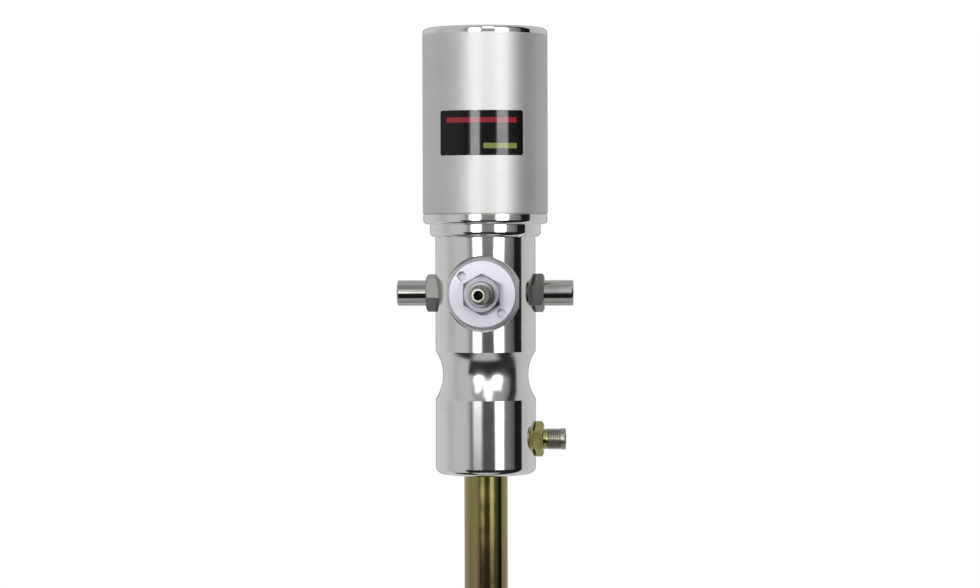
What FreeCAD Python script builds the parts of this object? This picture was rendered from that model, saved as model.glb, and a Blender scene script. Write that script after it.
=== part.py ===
"""Air-driven grease pump: a reciprocating air motor on a stem that stands in a pail of grease.

Millimetres, +Z up. The origin is on the pump's axis at the flat underside of the motor body,
where the suction tube leaves it. The air inlet faces -Y and the grease outlet faces +X.
Everything is drawn at rest: both pistons at the bottom of their stroke, the reversing shuttle down.
"""
import FreeCAD, Part
import math
import os

from FreeCAD import Vector

# Motor body: one turned and polished bar
BODY_R = 31.1
FOOT_ROUND = 4.5
WAIST_LOW = 46.6
WAIST_HIGH = 76.1
WAIST_R = 26.5
COLLAR_R = 34.4
COLLAR_TOP = 154.4
COLLAR_H = 4.6
FLANGE_R = 38.5
FLANGE_H = 6.6
FLANGE_EDGE = 2.6
SLEEVE_REGISTER_H = 6.5
LINER_REGISTER_H = 5.5

# Air cylinder: a liner inside an outer sleeve, with a thin air gap between them
LINER_BORE_R = 35.0
LINER_WALL = 1.5
AIR_GAP = 0.75
SLEEVE_WALL = 1.5
HEAD_SPIGOT_H = 6.5
HEAD_REGISTER_H = 4.2
HEAD_RIM_H = 4.2
HEAD_ROUND = 2.4
HEAD_RECESS_R = 20.5
HEAD_PIN_R = 3.0
HEAD_PIN_PCD_R = 27.0
AIR_HOLE_R = 1.5
AIR_HOLES = 8

# Stroke and reversing travel
STROKE = 65.0
SHIFT = 8.0
END_GAP = 4.0
STOP_GAP = 0.5
STOP_RISE = 4.0

# Air piston and its rod
PISTON_H = 14.0
PISTON_PLAY = 0.4
SEAL_H = 4.0
SEAL_DEPTH = 3.0
GUIDE_H = 4.0
GUIDE_DEPTH = 1.8
SEAL_LAND = 1.5
ROD_R = 5.0
ROD_NECK_R = 4.0
PISTON_NUT_AF = 15.0
PISTON_NUT_H = 7.0
NUT_PROUD = 1.5
RUN = 0.05

# Rod bush and seal in the top of the body
BUSH_R = 8.0
BUSH_H = 13.0
BUSH_POCKET = 23.0
ROD_SEAL_H = 4.5
RING_H = 1.2
RING_BITE = 0.8
RING_GAP = 5.0
ROD_HOLE_R = 5.5

# Trip rod, beside the piston rod towards the air inlet
TRIP_Y = -14.5
TRIP_R = 2.5
STOP_R = 4.6
STOP_H = 4.0
STOP_POCKET_R = 5.0
STOP_POCKET = 12.6
TRIP_SEAL_H = 3.6
TRIP_END = 1.0

# Valve chamber, bored from the front
VALVE_Z = 112.0
CHAMBER_R = 18.0
CHAMBER_BACK = 17.0
FRONT_FLAT = 22.1
FRONT_SPOT_R = 23.4

# Shuttle yoke and slide valve
YOKE_X = 14.0
YOKE_FRONT = 8.0
YOKE_BACK = 9.0
YOKE_H = 12.0
YOKE_HOLE_R = 6.0
ARM_X = 5.0
ARM_FRONT = 18.5
CLAW_H = 2.5
CLAW_REACH = 2.5
VALVE_X = 7.0
VALVE_H = 20.0
CAVITY_X = 4.5
CAVITY_DEPTH = 2.5
PORT_X = 4.0
PORT_H = 4.0
PORT_PITCH = 8.0
PLATE_T = 4.0
PLATE_PLAY = 0.2
PLATE_SCREW_X = 12.5
PLATE_SCREW_Z = 5.5
SCREW_R = 1.5
SCREW_HEAD_R = 2.75
SCREW_LENGTH = 8.0
WAY_X = 11.0
WAY_Y = 24.0
WAY_R = 2.5
WAY_HOLE_X = 8.0
WAY_HOLE_R = 2.0
FEED_R = 1.2
FEED_LAND = 0.4
PLUG_LENGTH = 5.0

# Over-centre toggles in the two side caps
PIVOT_X = 48.0
NOSE_X = 13.0
NOSE_R = 2.4
NOSE_PLAY = 0.6
TOGGLE_BALL_R = 4.6
TOGGLE_BALL_PLAY = 0.3
TOGGLE_FLANGE_END = 4.0
TOGGLE_STEM_R = 1.9
TOGGLE_STEM_END = 16.0
SPRING_R = 3.8
SPRING_WIRE = 1.0
SPRING_TURNS = 6
PLUNGER_FLANGE = 22.0
PLUNGER_FLANGE_H = 2.5
PLUNGER_SLEEVE_R = 2.5
PLUNGER_SLEEVE_START = 13.0
PLUNGER_NECK_R = 1.8

# Side caps
SIDE_FLAT = 27.5
SIDE_SPOT_R = 12.8
CAP_THREAD_R = 9.0
CAP_THREAD_L = 8.0
CAP_AF = 21.0
CAP_HEX_L = 9.1
CAP_BARREL_R = 8.0
CAP_LENGTH = 27.1
CAP_CHAMFER = 0.8
CAP_WIDE_BORE_R = 7.0
CAP_BORE_R = 5.65
CAP_TURN_LEFT = 17.0
CAP_TURN_RIGHT = 8.0

# Washers sunk under the hexagons
WASHER_T = 1.5
CAP_WASHER_R = 10.2
OUTLET_WASHER_R = 9.0
NIPPLE_WASHER_R = 9.5

# Front cover and air nipple
COVER_R = 21.7
COVER_T = 12.4
COVER_CHAMFER = 1.55
COVER_CROWN = 0.25
COVER_THREAD_L = 4.6
COVER_BORE_R = 14.5
COVER_FLOOR = 3.0
COVER_SEAL_W = 2.4
COVER_SEAL_H = 1.8
COVER_PIN_R = 2.9
COVER_PIN_PCD_R = 16.5
COVER_PIN_DEPTH = 6.0
COVER_PIN_ANGLES = (138.5, -44.5)
PIPE_R = 6.58
NIPPLE_AF = 22.0
NIPPLE_HEX_L = 9.0
NIPPLE_BOSS_R = 8.0
NIPPLE_BOSS_L = 3.5
NIPPLE_COLLAR_R = 6.0
NIPPLE_NECK_R = 4.7
NIPPLE_TIP_R = 4.3
NIPPLE_BORE_R = 2.9
NIPPLE_REACH = 37.5

# Exhaust silencer at the back
BACK_FLAT = 27.5
BACK_SPOT_R = 11.0
EXHAUST_R = 4.0
SILENCER_THREAD_L = 7.0
SILENCER_AF = 17.0
SILENCER_HEX_L = 5.0
SILENCER_R = 6.2
SILENCER_L = 13.0
SILENCER_WALL = 2.0

# Grease outlet
OUTLET_Z = 21.5
OUTLET_FLAT = 27.5
OUTLET_SPOT_R = 11.6
OUTLET_THREAD_L = 9.0
OUTLET_AF = 19.0
OUTLET_HEX_L = 8.6
OUTLET_NECK_R = 6.3
OUTLET_NECK_L = 2.4
OUTLET_REACH = 22.2
OUTLET_CHAMFER = 0.6
OUTLET_BORE_R = 3.5
OUTLET_CONE_R = 4.7

# Grease chamber and gland
GREASE_R = 12.0
GLAND_LOW = 48.0
GLAND_NUT_H = 14.0
GLAND_NUT_SLOT = 4.0
PACKING_R = 10.0
PACKING_RINGS = 3
PACKING_RING_H = 2.6
PACKING_LIP = 1.2
GLAND_BUSH_H = 8.2

# Stem: suction tube, pump barrel and inlet nose share one outer size
STEM_R = 13.45
STEM_LENGTH = 400.0
TUBE_BORE_R = 10.45
TUBE_THREAD_R = 13.2
TUBE_THREAD_H = 14.0
TUBE_LEAD = 1.0
TUBE_SEAL_Z = 5.0
TUBE_SEAL_H = 2.4
TUBE_SEAL_W = 1.8
BARREL_BORE_R = 7.0
BARREL_SPIGOT = 12.0
NOSE_THREAD_R = 11.6
SLOT_W = 9.0
SLOT_H = 40.0
SLOTS = 4
EDGE = 0.5
HEX_FLAT_SHARE = 0.96
HEX_BEVEL_DEG = 30.0

# Pump end, counted up from the tip of the nose
TIP_GAP = 1.0
SHOVEL_NUT_AF = 9.0
SHOVEL_NUT_H = 4.0
SHOVEL_T = 3.0
SHOVEL_R = 9.5
SHOVEL_ROD_R = 3.0
SHOVEL_NECK_R = 2.5
FOOT_SEAT_H = 5.0
FOOT_SEAT_BORE_R = 6.0
FOOT_DISC_R = 9.0
FOOT_DISC_H = 3.0
FOOT_LIFT = 3.0
FOOT_POCKET_R = 10.0
PUMP_GAP = 2.0
PUMP_STEM_R = 5.2
PUMP_STEM_H = 8.0
PUMP_LAND_H = 10.0
PUMP_SPIGOT_H = 3.0
PUMP_SEAL_H = 3.0
PUMP_SEAL_DEPTH = 1.4
PUMP_WAY_R = 2.5
PUMP_WINDOW_R = 1.7
CAGE_R = 6.0
CAGE_BORE_R = 4.3
CAGE_H = 23.0
CAGE_WINDOW_W = 3.6
BALL_R = 3.5
BALL_LIFT = 2.0
CAGE_THREAD_R = 3.5
CAGE_THREAD_L = 9.5

# Coupling between the piston rod and the connecting rod
COUPLING_Z = -44.0
COUPLING_R = 8.5
COUPLING_H = 24.0
COUPLING_PIN_R = 2.0
LINK_R = 4.0

# Seal rings of the cylinder
RING_SEAL_H = 2.2
RING_SEAL_W = 1.6

# Worked out from the sizes above
LINER_R = LINER_BORE_R + LINER_WALL
SLEEVE_BORE_R = LINER_R + AIR_GAP
SLEEVE_R = SLEEVE_BORE_R + SLEEVE_WALL
SLEEVE_Z = COLLAR_TOP + FLANGE_H
LINER_Z = SLEEVE_Z + SLEEVE_REGISTER_H
DECK_Z = LINER_Z + LINER_REGISTER_H
PISTON_Z = DECK_Z + STOP_RISE + STOP_GAP
PISTON_TOP = PISTON_Z + PISTON_H
PISTON_TOP_UP = PISTON_TOP + STROKE
HEAD_Z = PISTON_TOP_UP + END_GAP
LINER_TOP = HEAD_Z + HEAD_SPIGOT_H
SLEEVE_TOP = LINER_TOP + HEAD_REGISTER_H
HEAD_TOP = SLEEVE_TOP + HEAD_RIM_H
LOW_STOP_TOP = DECK_Z + STOP_RISE - SHIFT
HIGH_STOP_Z = PISTON_TOP_UP + STOP_GAP
TRIP_TOP = HIGH_STOP_Z + STOP_H + TRIP_END
HEAD_RECESS_TOP = TRIP_TOP + SHIFT + STOP_GAP
BUSH_Z = DECK_Z - BUSH_POCKET
CHAMBER_TOP = VALVE_Z + CHAMBER_R
YOKE_Z = VALVE_Z - SHIFT / 2
PLATE_FACE = CHAMBER_BACK - PLATE_T
VALVE_FACE = PLATE_FACE - RUN
TOGGLE_LENGTH = math.hypot(PIVOT_X - NOSE_X, SHIFT / 2)
PACKING_Z = GLAND_LOW + GLAND_NUT_H
GLAND_BUSH_Z = PACKING_Z + PACKING_RINGS * PACKING_RING_H
GLAND_TOP = GLAND_BUSH_Z + GLAND_BUSH_H
TIP_Z = -STEM_LENGTH
SHOVEL_NUT_Z = TIP_Z + TIP_GAP
SHOVEL_Z = SHOVEL_NUT_Z + SHOVEL_NUT_H
SHOVEL_TOP = SHOVEL_Z + SHOVEL_T
FOOT_SEAT_Z = SHOVEL_TOP + STROKE + TIP_GAP
FOOT_SEAT_TOP = FOOT_SEAT_Z + FOOT_SEAT_H
FOOT_DISC_Z = FOOT_SEAT_TOP + RUN
FOOT_POCKET_TOP = FOOT_DISC_Z + FOOT_DISC_H + FOOT_LIFT + PUMP_GAP
PUMP_Z = FOOT_POCKET_TOP + PUMP_GAP
PUMP_LAND_Z = PUMP_Z + PUMP_STEM_H
CAGE_Z = PUMP_LAND_Z + PUMP_LAND_H
CAGE_TOP = CAGE_Z + CAGE_H
BARREL_TOP = CAGE_TOP + STROKE
BARREL_SHOULDER = FOOT_SEAT_TOP + BARREL_SPIGOT
BALL_Z = CAGE_Z + PUMP_SPIGOT_H + RUN + math.sqrt(BALL_R ** 2 - PUMP_WAY_R ** 2)

UP = Vector(0, 0, 1)
BACK = Vector(0, 1, 0)
RIGHT = Vector(1, 0, 0)


def turned(start, *steps):
    """Solid turned about Z from points (radius, height); a pair of points is an arc through both."""
    first = here = Vector(start[0], 0, start[1])
    edges = []
    for step in steps:
        if isinstance(step[0], tuple):
            middle, end = (Vector(radius, 0, height) for radius, height in step)
            edges.append(Part.Arc(here, middle, end).toShape())
        else:
            end = Vector(step[0], 0, step[1])
            edges.append(Part.LineSegment(here, end).toShape())
        here = end
    edges.append(Part.LineSegment(here, first).toShape())
    return Part.Face(Part.Wire(edges)).revolve(Vector(), UP, 360)


def round_middle(radius, height, size, up):
    """Middle point of the quarter-round on a turned corner; up is +1 for a top edge, -1 for a bottom one."""
    lean = size * (1 - math.sqrt(0.5))
    return radius - lean, height - up * lean


def rod(radius, low, high, x=0.0, y=0.0):
    """Upright cylinder between two heights."""
    return Part.makeCylinder(radius, high - low, Vector(x, y, low))


def ring(outer, inner, low, high):
    """Upright ring or tube between two heights."""
    return rod(outer, low, high).cut(rod(inner, low, high))


def block(x_low, x_high, y_low, y_high, z_low, z_high):
    """Box between two corners."""
    return Part.makeBox(x_high - x_low, y_high - y_low, z_high - z_low, Vector(x_low, y_low, z_low))


def hexagon(across_flats, low, high, turn=0.0, bevel_low=False, bevel_high=True):
    """Hexagonal prism about Z, with its corners bevelled at the ends that show."""
    corner = across_flats / math.sqrt(3)
    angles = [math.radians(60 * side + turn) for side in range(6)]
    points = [Vector(corner * math.cos(a), corner * math.sin(a), low) for a in angles]
    prism = Part.Face(Part.makePolygon(points + points[:1])).extrude(UP * (high - low))
    flat = HEX_FLAT_SHARE * across_flats / 2
    drop = (corner - flat) * math.tan(math.radians(HEX_BEVEL_DEG))
    outline = [(corner, low + drop), (corner, high - drop)]
    start = [(flat, low)] if bevel_low else [(corner, low)]
    end = [(flat, high)] if bevel_high else [(corner, high)]
    return prism.common(turned((0, low), *start, *outline, *end, (0, high)))


def aimed(shape, direction, origin):
    """Copy of a shape drawn about +Z, turned to point along direction from origin."""
    copy = shape.copy()
    copy.Placement = FreeCAD.Placement(origin, FreeCAD.Rotation(UP, direction))
    return copy


def facing_front(shape, flat=FRONT_FLAT):
    """Turned about X, so that the drawing's Y stays upright."""
    copy = shape.copy()
    copy.Placement = FreeCAD.Placement(Vector(0, -flat, VALVE_Z), FreeCAD.Rotation(RIGHT, 90))
    return copy


def facing_back(shape, flat=BACK_FLAT):
    copy = shape.copy()
    copy.Placement = FreeCAD.Placement(Vector(0, flat, VALVE_Z), FreeCAD.Rotation(RIGHT, -90))
    return copy


def facing_side(shape, side, z, flat):
    """side is +1 for the right and -1 for the left."""
    copy = shape.copy()
    copy.Placement = FreeCAD.Placement(Vector(side * flat, 0, z), FreeCAD.Rotation(BACK, side * 90))
    return copy


def group(solids):
    return Part.makeCompound(solids)


def fused(solids):
    whole = solids[0]
    for solid in solids[1:]:
        whole = whole.fuse(solid)
    return whole.removeSplitter()


# Motor body
def body_outline():
    collar_low = COLLAR_TOP - COLLAR_H
    collar_round = COLLAR_R - BODY_R
    collar_middle = round_middle(COLLAR_R, collar_low - collar_round, collar_round, -1)
    foot_middle = round_middle(BODY_R, 0, FOOT_ROUND, -1)
    edge_middle = round_middle(FLANGE_R, COLLAR_TOP, FLANGE_EDGE, -1)
    waist_middle = (WAIST_R, (WAIST_LOW + WAIST_HIGH) / 2)
    return turned(
        (0, 0),
        (BODY_R - FOOT_ROUND, 0),
        (foot_middle, (BODY_R, FOOT_ROUND)),
        (BODY_R, WAIST_LOW),
        (waist_middle, (BODY_R, WAIST_HIGH)),
        (BODY_R, collar_low - collar_round),
        (collar_middle, (COLLAR_R, collar_low)),
        (COLLAR_R, COLLAR_TOP),
        (FLANGE_R - FLANGE_EDGE, COLLAR_TOP),
        (edge_middle, (FLANGE_R, COLLAR_TOP + FLANGE_EDGE)),
        (FLANGE_R, SLEEVE_Z - EDGE),
        (FLANGE_R - EDGE, SLEEVE_Z),
        (SLEEVE_BORE_R, SLEEVE_Z),
        (SLEEVE_BORE_R, LINER_Z),
        (LINER_BORE_R, LINER_Z),
        (LINER_BORE_R, DECK_Z),
        (0, DECK_Z),
    )


def centre_bores():
    """Bores on the pump's axis, from the stem's thread up to the rod seal."""
    return [
        rod(TUBE_THREAD_R, 0, TUBE_THREAD_H),
        Part.makeCone(TUBE_THREAD_R + TUBE_LEAD, TUBE_THREAD_R, TUBE_LEAD),
        ring(TUBE_THREAD_R + TUBE_SEAL_W, TUBE_THREAD_R, TUBE_SEAL_Z, TUBE_SEAL_Z + TUBE_SEAL_H),
        rod(GREASE_R, 0, PACKING_Z),
        rod(PACKING_R, PACKING_Z, GLAND_TOP),
        rod(ROD_HOLE_R, GLAND_TOP, DECK_Z),
        rod(BUSH_R, BUSH_Z, DECK_Z),
        ring(BUSH_R + RING_BITE, BUSH_R, ring_groove_z(), ring_groove_z() + RING_H),
    ]


def ring_groove_z():
    return BUSH_Z + BUSH_H + ROD_SEAL_H + EDGE


def trip_bores():
    return [
        rod(TRIP_R + RUN, CHAMBER_TOP - TRIP_R, DECK_Z, y=TRIP_Y),
        rod(STOP_POCKET_R, DECK_Z - STOP_POCKET, DECK_Z, y=TRIP_Y),
    ]


def air_ways():
    """Drilled ways from the valve seat up to both sides of the air piston, and out to the back."""
    hole_length = WAY_Y - CHAMBER_BACK
    under = rod(WAY_R, VALVE_Z + PORT_PITCH - PORT_H, DECK_Z, x=-WAY_X, y=WAY_Y)
    over = rod(WAY_R, VALVE_Z - PORT_PITCH - PORT_H, DECK_Z, x=WAY_X, y=WAY_Y)
    ports = [
        Part.makeCylinder(WAY_HOLE_R, hole_length, Vector(side * WAY_HOLE_X, CHAMBER_BACK, z), BACK)
        for side, z in ((-1, VALVE_Z + PORT_PITCH), (1, VALVE_Z - PORT_PITCH))
    ]
    cross = Part.makeCylinder(FEED_R, SLEEVE_BORE_R - WAY_Y, Vector(WAY_X, WAY_Y, feed_z()), BACK)
    feed = ring(SLEEVE_BORE_R, LINER_BORE_R + AIR_GAP, feed_z() - FEED_R - FEED_LAND, LINER_Z)
    exhaust_start = Vector(0, CHAMBER_BACK, VALVE_Z)
    exhaust = Part.makeCylinder(EXHAUST_R, BACK_FLAT - CHAMBER_BACK, exhaust_start, BACK)
    return [under, over, *ports, cross, feed, exhaust]


def feed_z():
    """Height of the drilling that feeds the air gap through a groove under the liner."""
    return LINER_Z - FEED_LAND - FEED_R


def side_bores():
    """Valve chamber, toggle bores, outlet and exhaust port, each with its spot face."""
    deep = BODY_R
    chamber = facing_front(rod(CHAMBER_R, -(FRONT_FLAT + CHAMBER_BACK), deep))
    front_spot = facing_front(rod(FRONT_SPOT_R, 0, deep))
    cuts = [chamber, front_spot]
    for side in (1, -1):
        bore = rod(CAP_THREAD_R, -SIDE_FLAT, deep)
        spot = rod(SIDE_SPOT_R, 0, deep)
        washer = rod(CAP_WASHER_R, -WASHER_T, 0)
        cuts += [facing_side(cut, side, VALVE_Z, SIDE_FLAT) for cut in (bore, spot, washer)]
    port = rod(PIPE_R, -OUTLET_THREAD_L, deep)
    way = rod(OUTLET_BORE_R, -OUTLET_FLAT, deep)
    spot = rod(OUTLET_SPOT_R, 0, deep)
    washer = rod(OUTLET_WASHER_R, -WASHER_T, 0)
    cuts += [facing_side(cut, 1, OUTLET_Z, OUTLET_FLAT) for cut in (port, way, spot, washer)]
    cuts += [facing_back(rod(PIPE_R, -SILENCER_THREAD_L, deep)), facing_back(rod(BACK_SPOT_R, 0, deep))]
    return cuts


def screw_places():
    return [
        Vector(x, PLATE_FACE, VALVE_Z + z)
        for x in (-PLATE_SCREW_X, PLATE_SCREW_X)
        for z in (-PLATE_SCREW_Z, PLATE_SCREW_Z)
    ]


def countersunk_screw():
    """Flat-headed screw drawn about +Z, its head's top at zero and its point towards +Z."""
    sink = SCREW_HEAD_R - SCREW_R
    return turned((0, 0), (SCREW_HEAD_R, 0), (SCREW_R, sink), (SCREW_R, SCREW_LENGTH), (0, SCREW_LENGTH))


def plate_screws():
    return [aimed(countersunk_screw(), BACK, place) for place in screw_places()]


def spigot_grooves():
    """Grooves for the two seal rings on the body's spigot."""
    return [
        ring(SLEEVE_BORE_R, SLEEVE_BORE_R - RING_SEAL_W, *body_sleeve_seal_span()),
        ring(LINER_BORE_R, LINER_BORE_R - RING_SEAL_W, *body_liner_seal_span()),
    ]


def body_sleeve_seal_span():
    low = SLEEVE_Z + EDGE
    return low, low + RING_SEAL_H


def body_liner_seal_span():
    low = LINER_Z + (LINER_REGISTER_H - RING_SEAL_H) / 2
    return low, low + RING_SEAL_H


def head_liner_seal_span():
    low = HEAD_Z + (HEAD_SPIGOT_H - RING_SEAL_H) / 2
    return low, low + RING_SEAL_H


def motor_body():
    bar = body_outline()
    cuts = centre_bores() + trip_bores() + air_ways() + side_bores() + plate_screws() + spigot_grooves()
    for cut in cuts:
        bar = bar.cut(cut)
    return bar


# Air cylinder
def cylinder_liner():
    tube = ring(LINER_R, LINER_BORE_R, LINER_Z, LINER_TOP)
    height = HEAD_Z - END_GAP / 2
    for number in range(AIR_HOLES):
        angle = 2 * math.pi * (number + 0.5) / AIR_HOLES
        way = Vector(math.cos(angle), math.sin(angle), 0)
        tube = tube.cut(Part.makeCylinder(AIR_HOLE_R, LINER_R, Vector(0, 0, height), way))
    return tube


def outer_sleeve():
    return turned(
        (SLEEVE_BORE_R, SLEEVE_Z),
        (SLEEVE_R - EDGE, SLEEVE_Z),
        (SLEEVE_R, SLEEVE_Z + EDGE),
        (SLEEVE_R, SLEEVE_TOP),
        (SLEEVE_BORE_R, SLEEVE_TOP),
    )


def cylinder_head():
    corner = round_middle(SLEEVE_R, HEAD_TOP, HEAD_ROUND, 1)
    head = turned(
        (0, HEAD_TOP),
        (SLEEVE_R - HEAD_ROUND, HEAD_TOP),
        (corner, (SLEEVE_R, HEAD_TOP - HEAD_ROUND)),
        (SLEEVE_R, SLEEVE_TOP),
        (SLEEVE_BORE_R, SLEEVE_TOP),
        (SLEEVE_BORE_R, LINER_TOP),
        (LINER_BORE_R, LINER_TOP),
        (LINER_BORE_R, HEAD_Z),
        (HEAD_RECESS_R, HEAD_Z),
        (HEAD_RECESS_R, HEAD_RECESS_TOP),
        (0, HEAD_RECESS_TOP),
    )
    head = head.cut(ring(LINER_BORE_R, LINER_BORE_R - RING_SEAL_W, *head_liner_seal_span()))
    for side in (-1, 1):
        head = head.cut(rod(HEAD_PIN_R, HEAD_TOP - 2 * HEAD_PIN_R, HEAD_TOP, x=side * HEAD_PIN_PCD_R))
    return head


def cylinder_seals():
    return group([
        ring(SLEEVE_BORE_R, SLEEVE_BORE_R - RING_SEAL_W, *body_sleeve_seal_span()),
        ring(LINER_BORE_R, LINER_BORE_R - RING_SEAL_W, *body_liner_seal_span()),
        ring(LINER_BORE_R, LINER_BORE_R - RING_SEAL_W, *head_liner_seal_span()),
    ])


# Rod guide at the top of the body
def rod_guide_bush():
    return ring(BUSH_R, ROD_R + RUN, BUSH_Z, BUSH_Z + BUSH_H)


def rod_seal():
    low = BUSH_Z + BUSH_H
    lip = ROD_SEAL_H / 2
    return turned(
        (ROD_R + RUN, low),
        (BUSH_R, low),
        (BUSH_R, low + ROD_SEAL_H),
        (BUSH_R - lip / 2, low + ROD_SEAL_H),
        ((ROD_R + BUSH_R) / 2, low + lip),
        (ROD_R + RUN, low + ROD_SEAL_H - lip / 2),
    )


def seal_retaining_ring():
    low = ring_groove_z()
    circle = ring(BUSH_R + RING_BITE, ROD_R + 2 * RING_BITE, low, low + RING_H)
    gap = block(0, 2 * BUSH_R, -RING_GAP / 2, RING_GAP / 2, low, low + RING_H)
    return circle.cut(gap)


def trip_rod_seal():
    low = DECK_Z - STOP_POCKET
    seal = rod(STOP_POCKET_R, low, low + TRIP_SEAL_H, y=TRIP_Y)
    return seal.cut(rod(TRIP_R + RUN, low, low + TRIP_SEAL_H, y=TRIP_Y))


def passage_plug():
    """Grub screw that closes the drilled way to the air gap at the deck."""
    plug = rod(WAY_R, DECK_Z - PLUG_LENGTH, DECK_Z, x=WAY_X, y=WAY_Y)
    key = hexagon(WAY_R, DECK_Z - PLUG_LENGTH / 2, DECK_Z, bevel_high=False)
    key.translate(Vector(WAY_X, WAY_Y, 0))
    return plug.cut(key)


# Front cover and nipple
def inlet_cover():
    """Screwed cover with a slightly crowned face, as polishing leaves it round the flat for the nipple."""
    rim = COVER_R - COVER_CHAMFER
    flat = NIPPLE_WASHER_R + EDGE
    crown_middle = ((rim + flat) / 2, COVER_T - COVER_CROWN / 4)
    cover = turned(
        (COVER_BORE_R, -COVER_THREAD_L),
        (CHAMBER_R, -COVER_THREAD_L),
        (CHAMBER_R, 0),
        (COVER_R, 0),
        (COVER_R, COVER_T - COVER_CROWN - COVER_CHAMFER),
        (rim, COVER_T - COVER_CROWN),
        (crown_middle, (flat, COVER_T)),
        (PIPE_R, COVER_T),
        (PIPE_R, COVER_FLOOR),
        (COVER_BORE_R, COVER_FLOOR),
    )
    cover = cover.cut(ring(CHAMBER_R + COVER_SEAL_W, CHAMBER_R, 0, COVER_SEAL_H))
    cover = cover.cut(rod(NIPPLE_WASHER_R, COVER_T - WASHER_T, COVER_T))
    for angle in COVER_PIN_ANGLES:
        x = COVER_PIN_PCD_R * math.cos(math.radians(angle))
        y = COVER_PIN_PCD_R * math.sin(math.radians(angle))
        cover = cover.cut(rod(COVER_PIN_R, COVER_T - COVER_PIN_DEPTH, COVER_T, x, y))
    return facing_front(cover)


def cover_seal():
    return facing_front(ring(CHAMBER_R + COVER_SEAL_W, CHAMBER_R, 0, COVER_SEAL_H))


def air_nipple():
    """Plug nipple: pipe thread, hexagon, boss, and the shouldered plug that a hose socket grips."""
    thread = rod(PIPE_R, COVER_FLOOR - COVER_T, 0)
    nut = hexagon(NIPPLE_AF, 0, NIPPLE_HEX_L, turn=30)
    boss_top = NIPPLE_HEX_L + NIPPLE_BOSS_L
    step = NIPPLE_COLLAR_R - NIPPLE_NECK_R
    slope = NIPPLE_COLLAR_R - NIPPLE_TIP_R
    collar_top = boss_top + NIPPLE_COLLAR_R
    bulge_low = collar_top + NIPPLE_COLLAR_R
    bulge_top = bulge_low + NIPPLE_NECK_R
    plug = turned(
        (0, 0),
        (NIPPLE_BOSS_R, 0),
        (NIPPLE_BOSS_R, boss_top - EDGE),
        (NIPPLE_BOSS_R - EDGE, boss_top),
        (NIPPLE_COLLAR_R, boss_top),
        (NIPPLE_COLLAR_R, collar_top),
        (NIPPLE_NECK_R, collar_top + step),
        (NIPPLE_NECK_R, bulge_low - step),
        (NIPPLE_COLLAR_R, bulge_low),
        (NIPPLE_COLLAR_R, bulge_top - slope),
        (NIPPLE_TIP_R, bulge_top + slope),
        (NIPPLE_TIP_R, NIPPLE_REACH - EDGE),
        (NIPPLE_TIP_R - EDGE, NIPPLE_REACH),
        (0, NIPPLE_REACH),
    )
    whole = fused([thread, nut, plug])
    return facing_front(whole.cut(rod(NIPPLE_BORE_R, COVER_FLOOR - COVER_T, NIPPLE_REACH)), flat=cover_face())


def cover_face():
    return FRONT_FLAT + COVER_T


def nipple_washer():
    return facing_front(ring(NIPPLE_WASHER_R, PIPE_R, -WASHER_T, 0), flat=cover_face())


# Side caps
def toggle_cap(side, turn):
    thread = rod(CAP_THREAD_R, -CAP_THREAD_L, 0)
    nut = hexagon(CAP_AF, 0, CAP_HEX_L, turn)
    barrel = turned(
        (0, 0),
        (CAP_BARREL_R, 0),
        (CAP_BARREL_R, CAP_LENGTH - CAP_CHAMFER),
        (CAP_BARREL_R - CAP_CHAMFER, CAP_LENGTH),
        (0, CAP_LENGTH),
    )
    cap = fused([thread, nut, barrel])
    cap = cap.cut(rod(CAP_WIDE_BORE_R, -CAP_THREAD_L, CAP_HEX_L))
    bore_end = PIVOT_X - SIDE_FLAT + TOGGLE_BALL_R + TOGGLE_BALL_PLAY
    return facing_side(cap.cut(rod(CAP_BORE_R, CAP_HEX_L, bore_end)), side, VALVE_Z, SIDE_FLAT)


def cap_washers():
    washer = ring(CAP_WASHER_R, CAP_THREAD_R, -WASHER_T, 0)
    return group([facing_side(washer, side, VALVE_Z, SIDE_FLAT) for side in (1, -1)])


# Valve gear in the chamber
def valve_seat_plate():
    """Drawn with its working face up at zero, then turned to face the front."""
    plate = rod(CHAMBER_R - PLATE_PLAY, -PLATE_T, 0)
    for z in (-PORT_PITCH, 0, PORT_PITCH):
        plate = plate.cut(block(-PORT_X, PORT_X, z - PORT_H / 2, z + PORT_H / 2, -PLATE_T, 0))
    reach = WAY_HOLE_X + WAY_HOLE_R
    for side in (-1, 1):
        low, high = sorted((side * PORT_X, -side * reach))
        z = side * PORT_PITCH
        plate = plate.cut(block(low, high, z - PORT_H / 2, z + PORT_H / 2, -PLATE_T, -PLATE_T / 2))
    plate = facing_front(plate, flat=-PLATE_FACE)
    for screw in plate_screws():
        plate = plate.cut(screw)
    return plate


def seat_plate_screws():
    return group(plate_screws())


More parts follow.
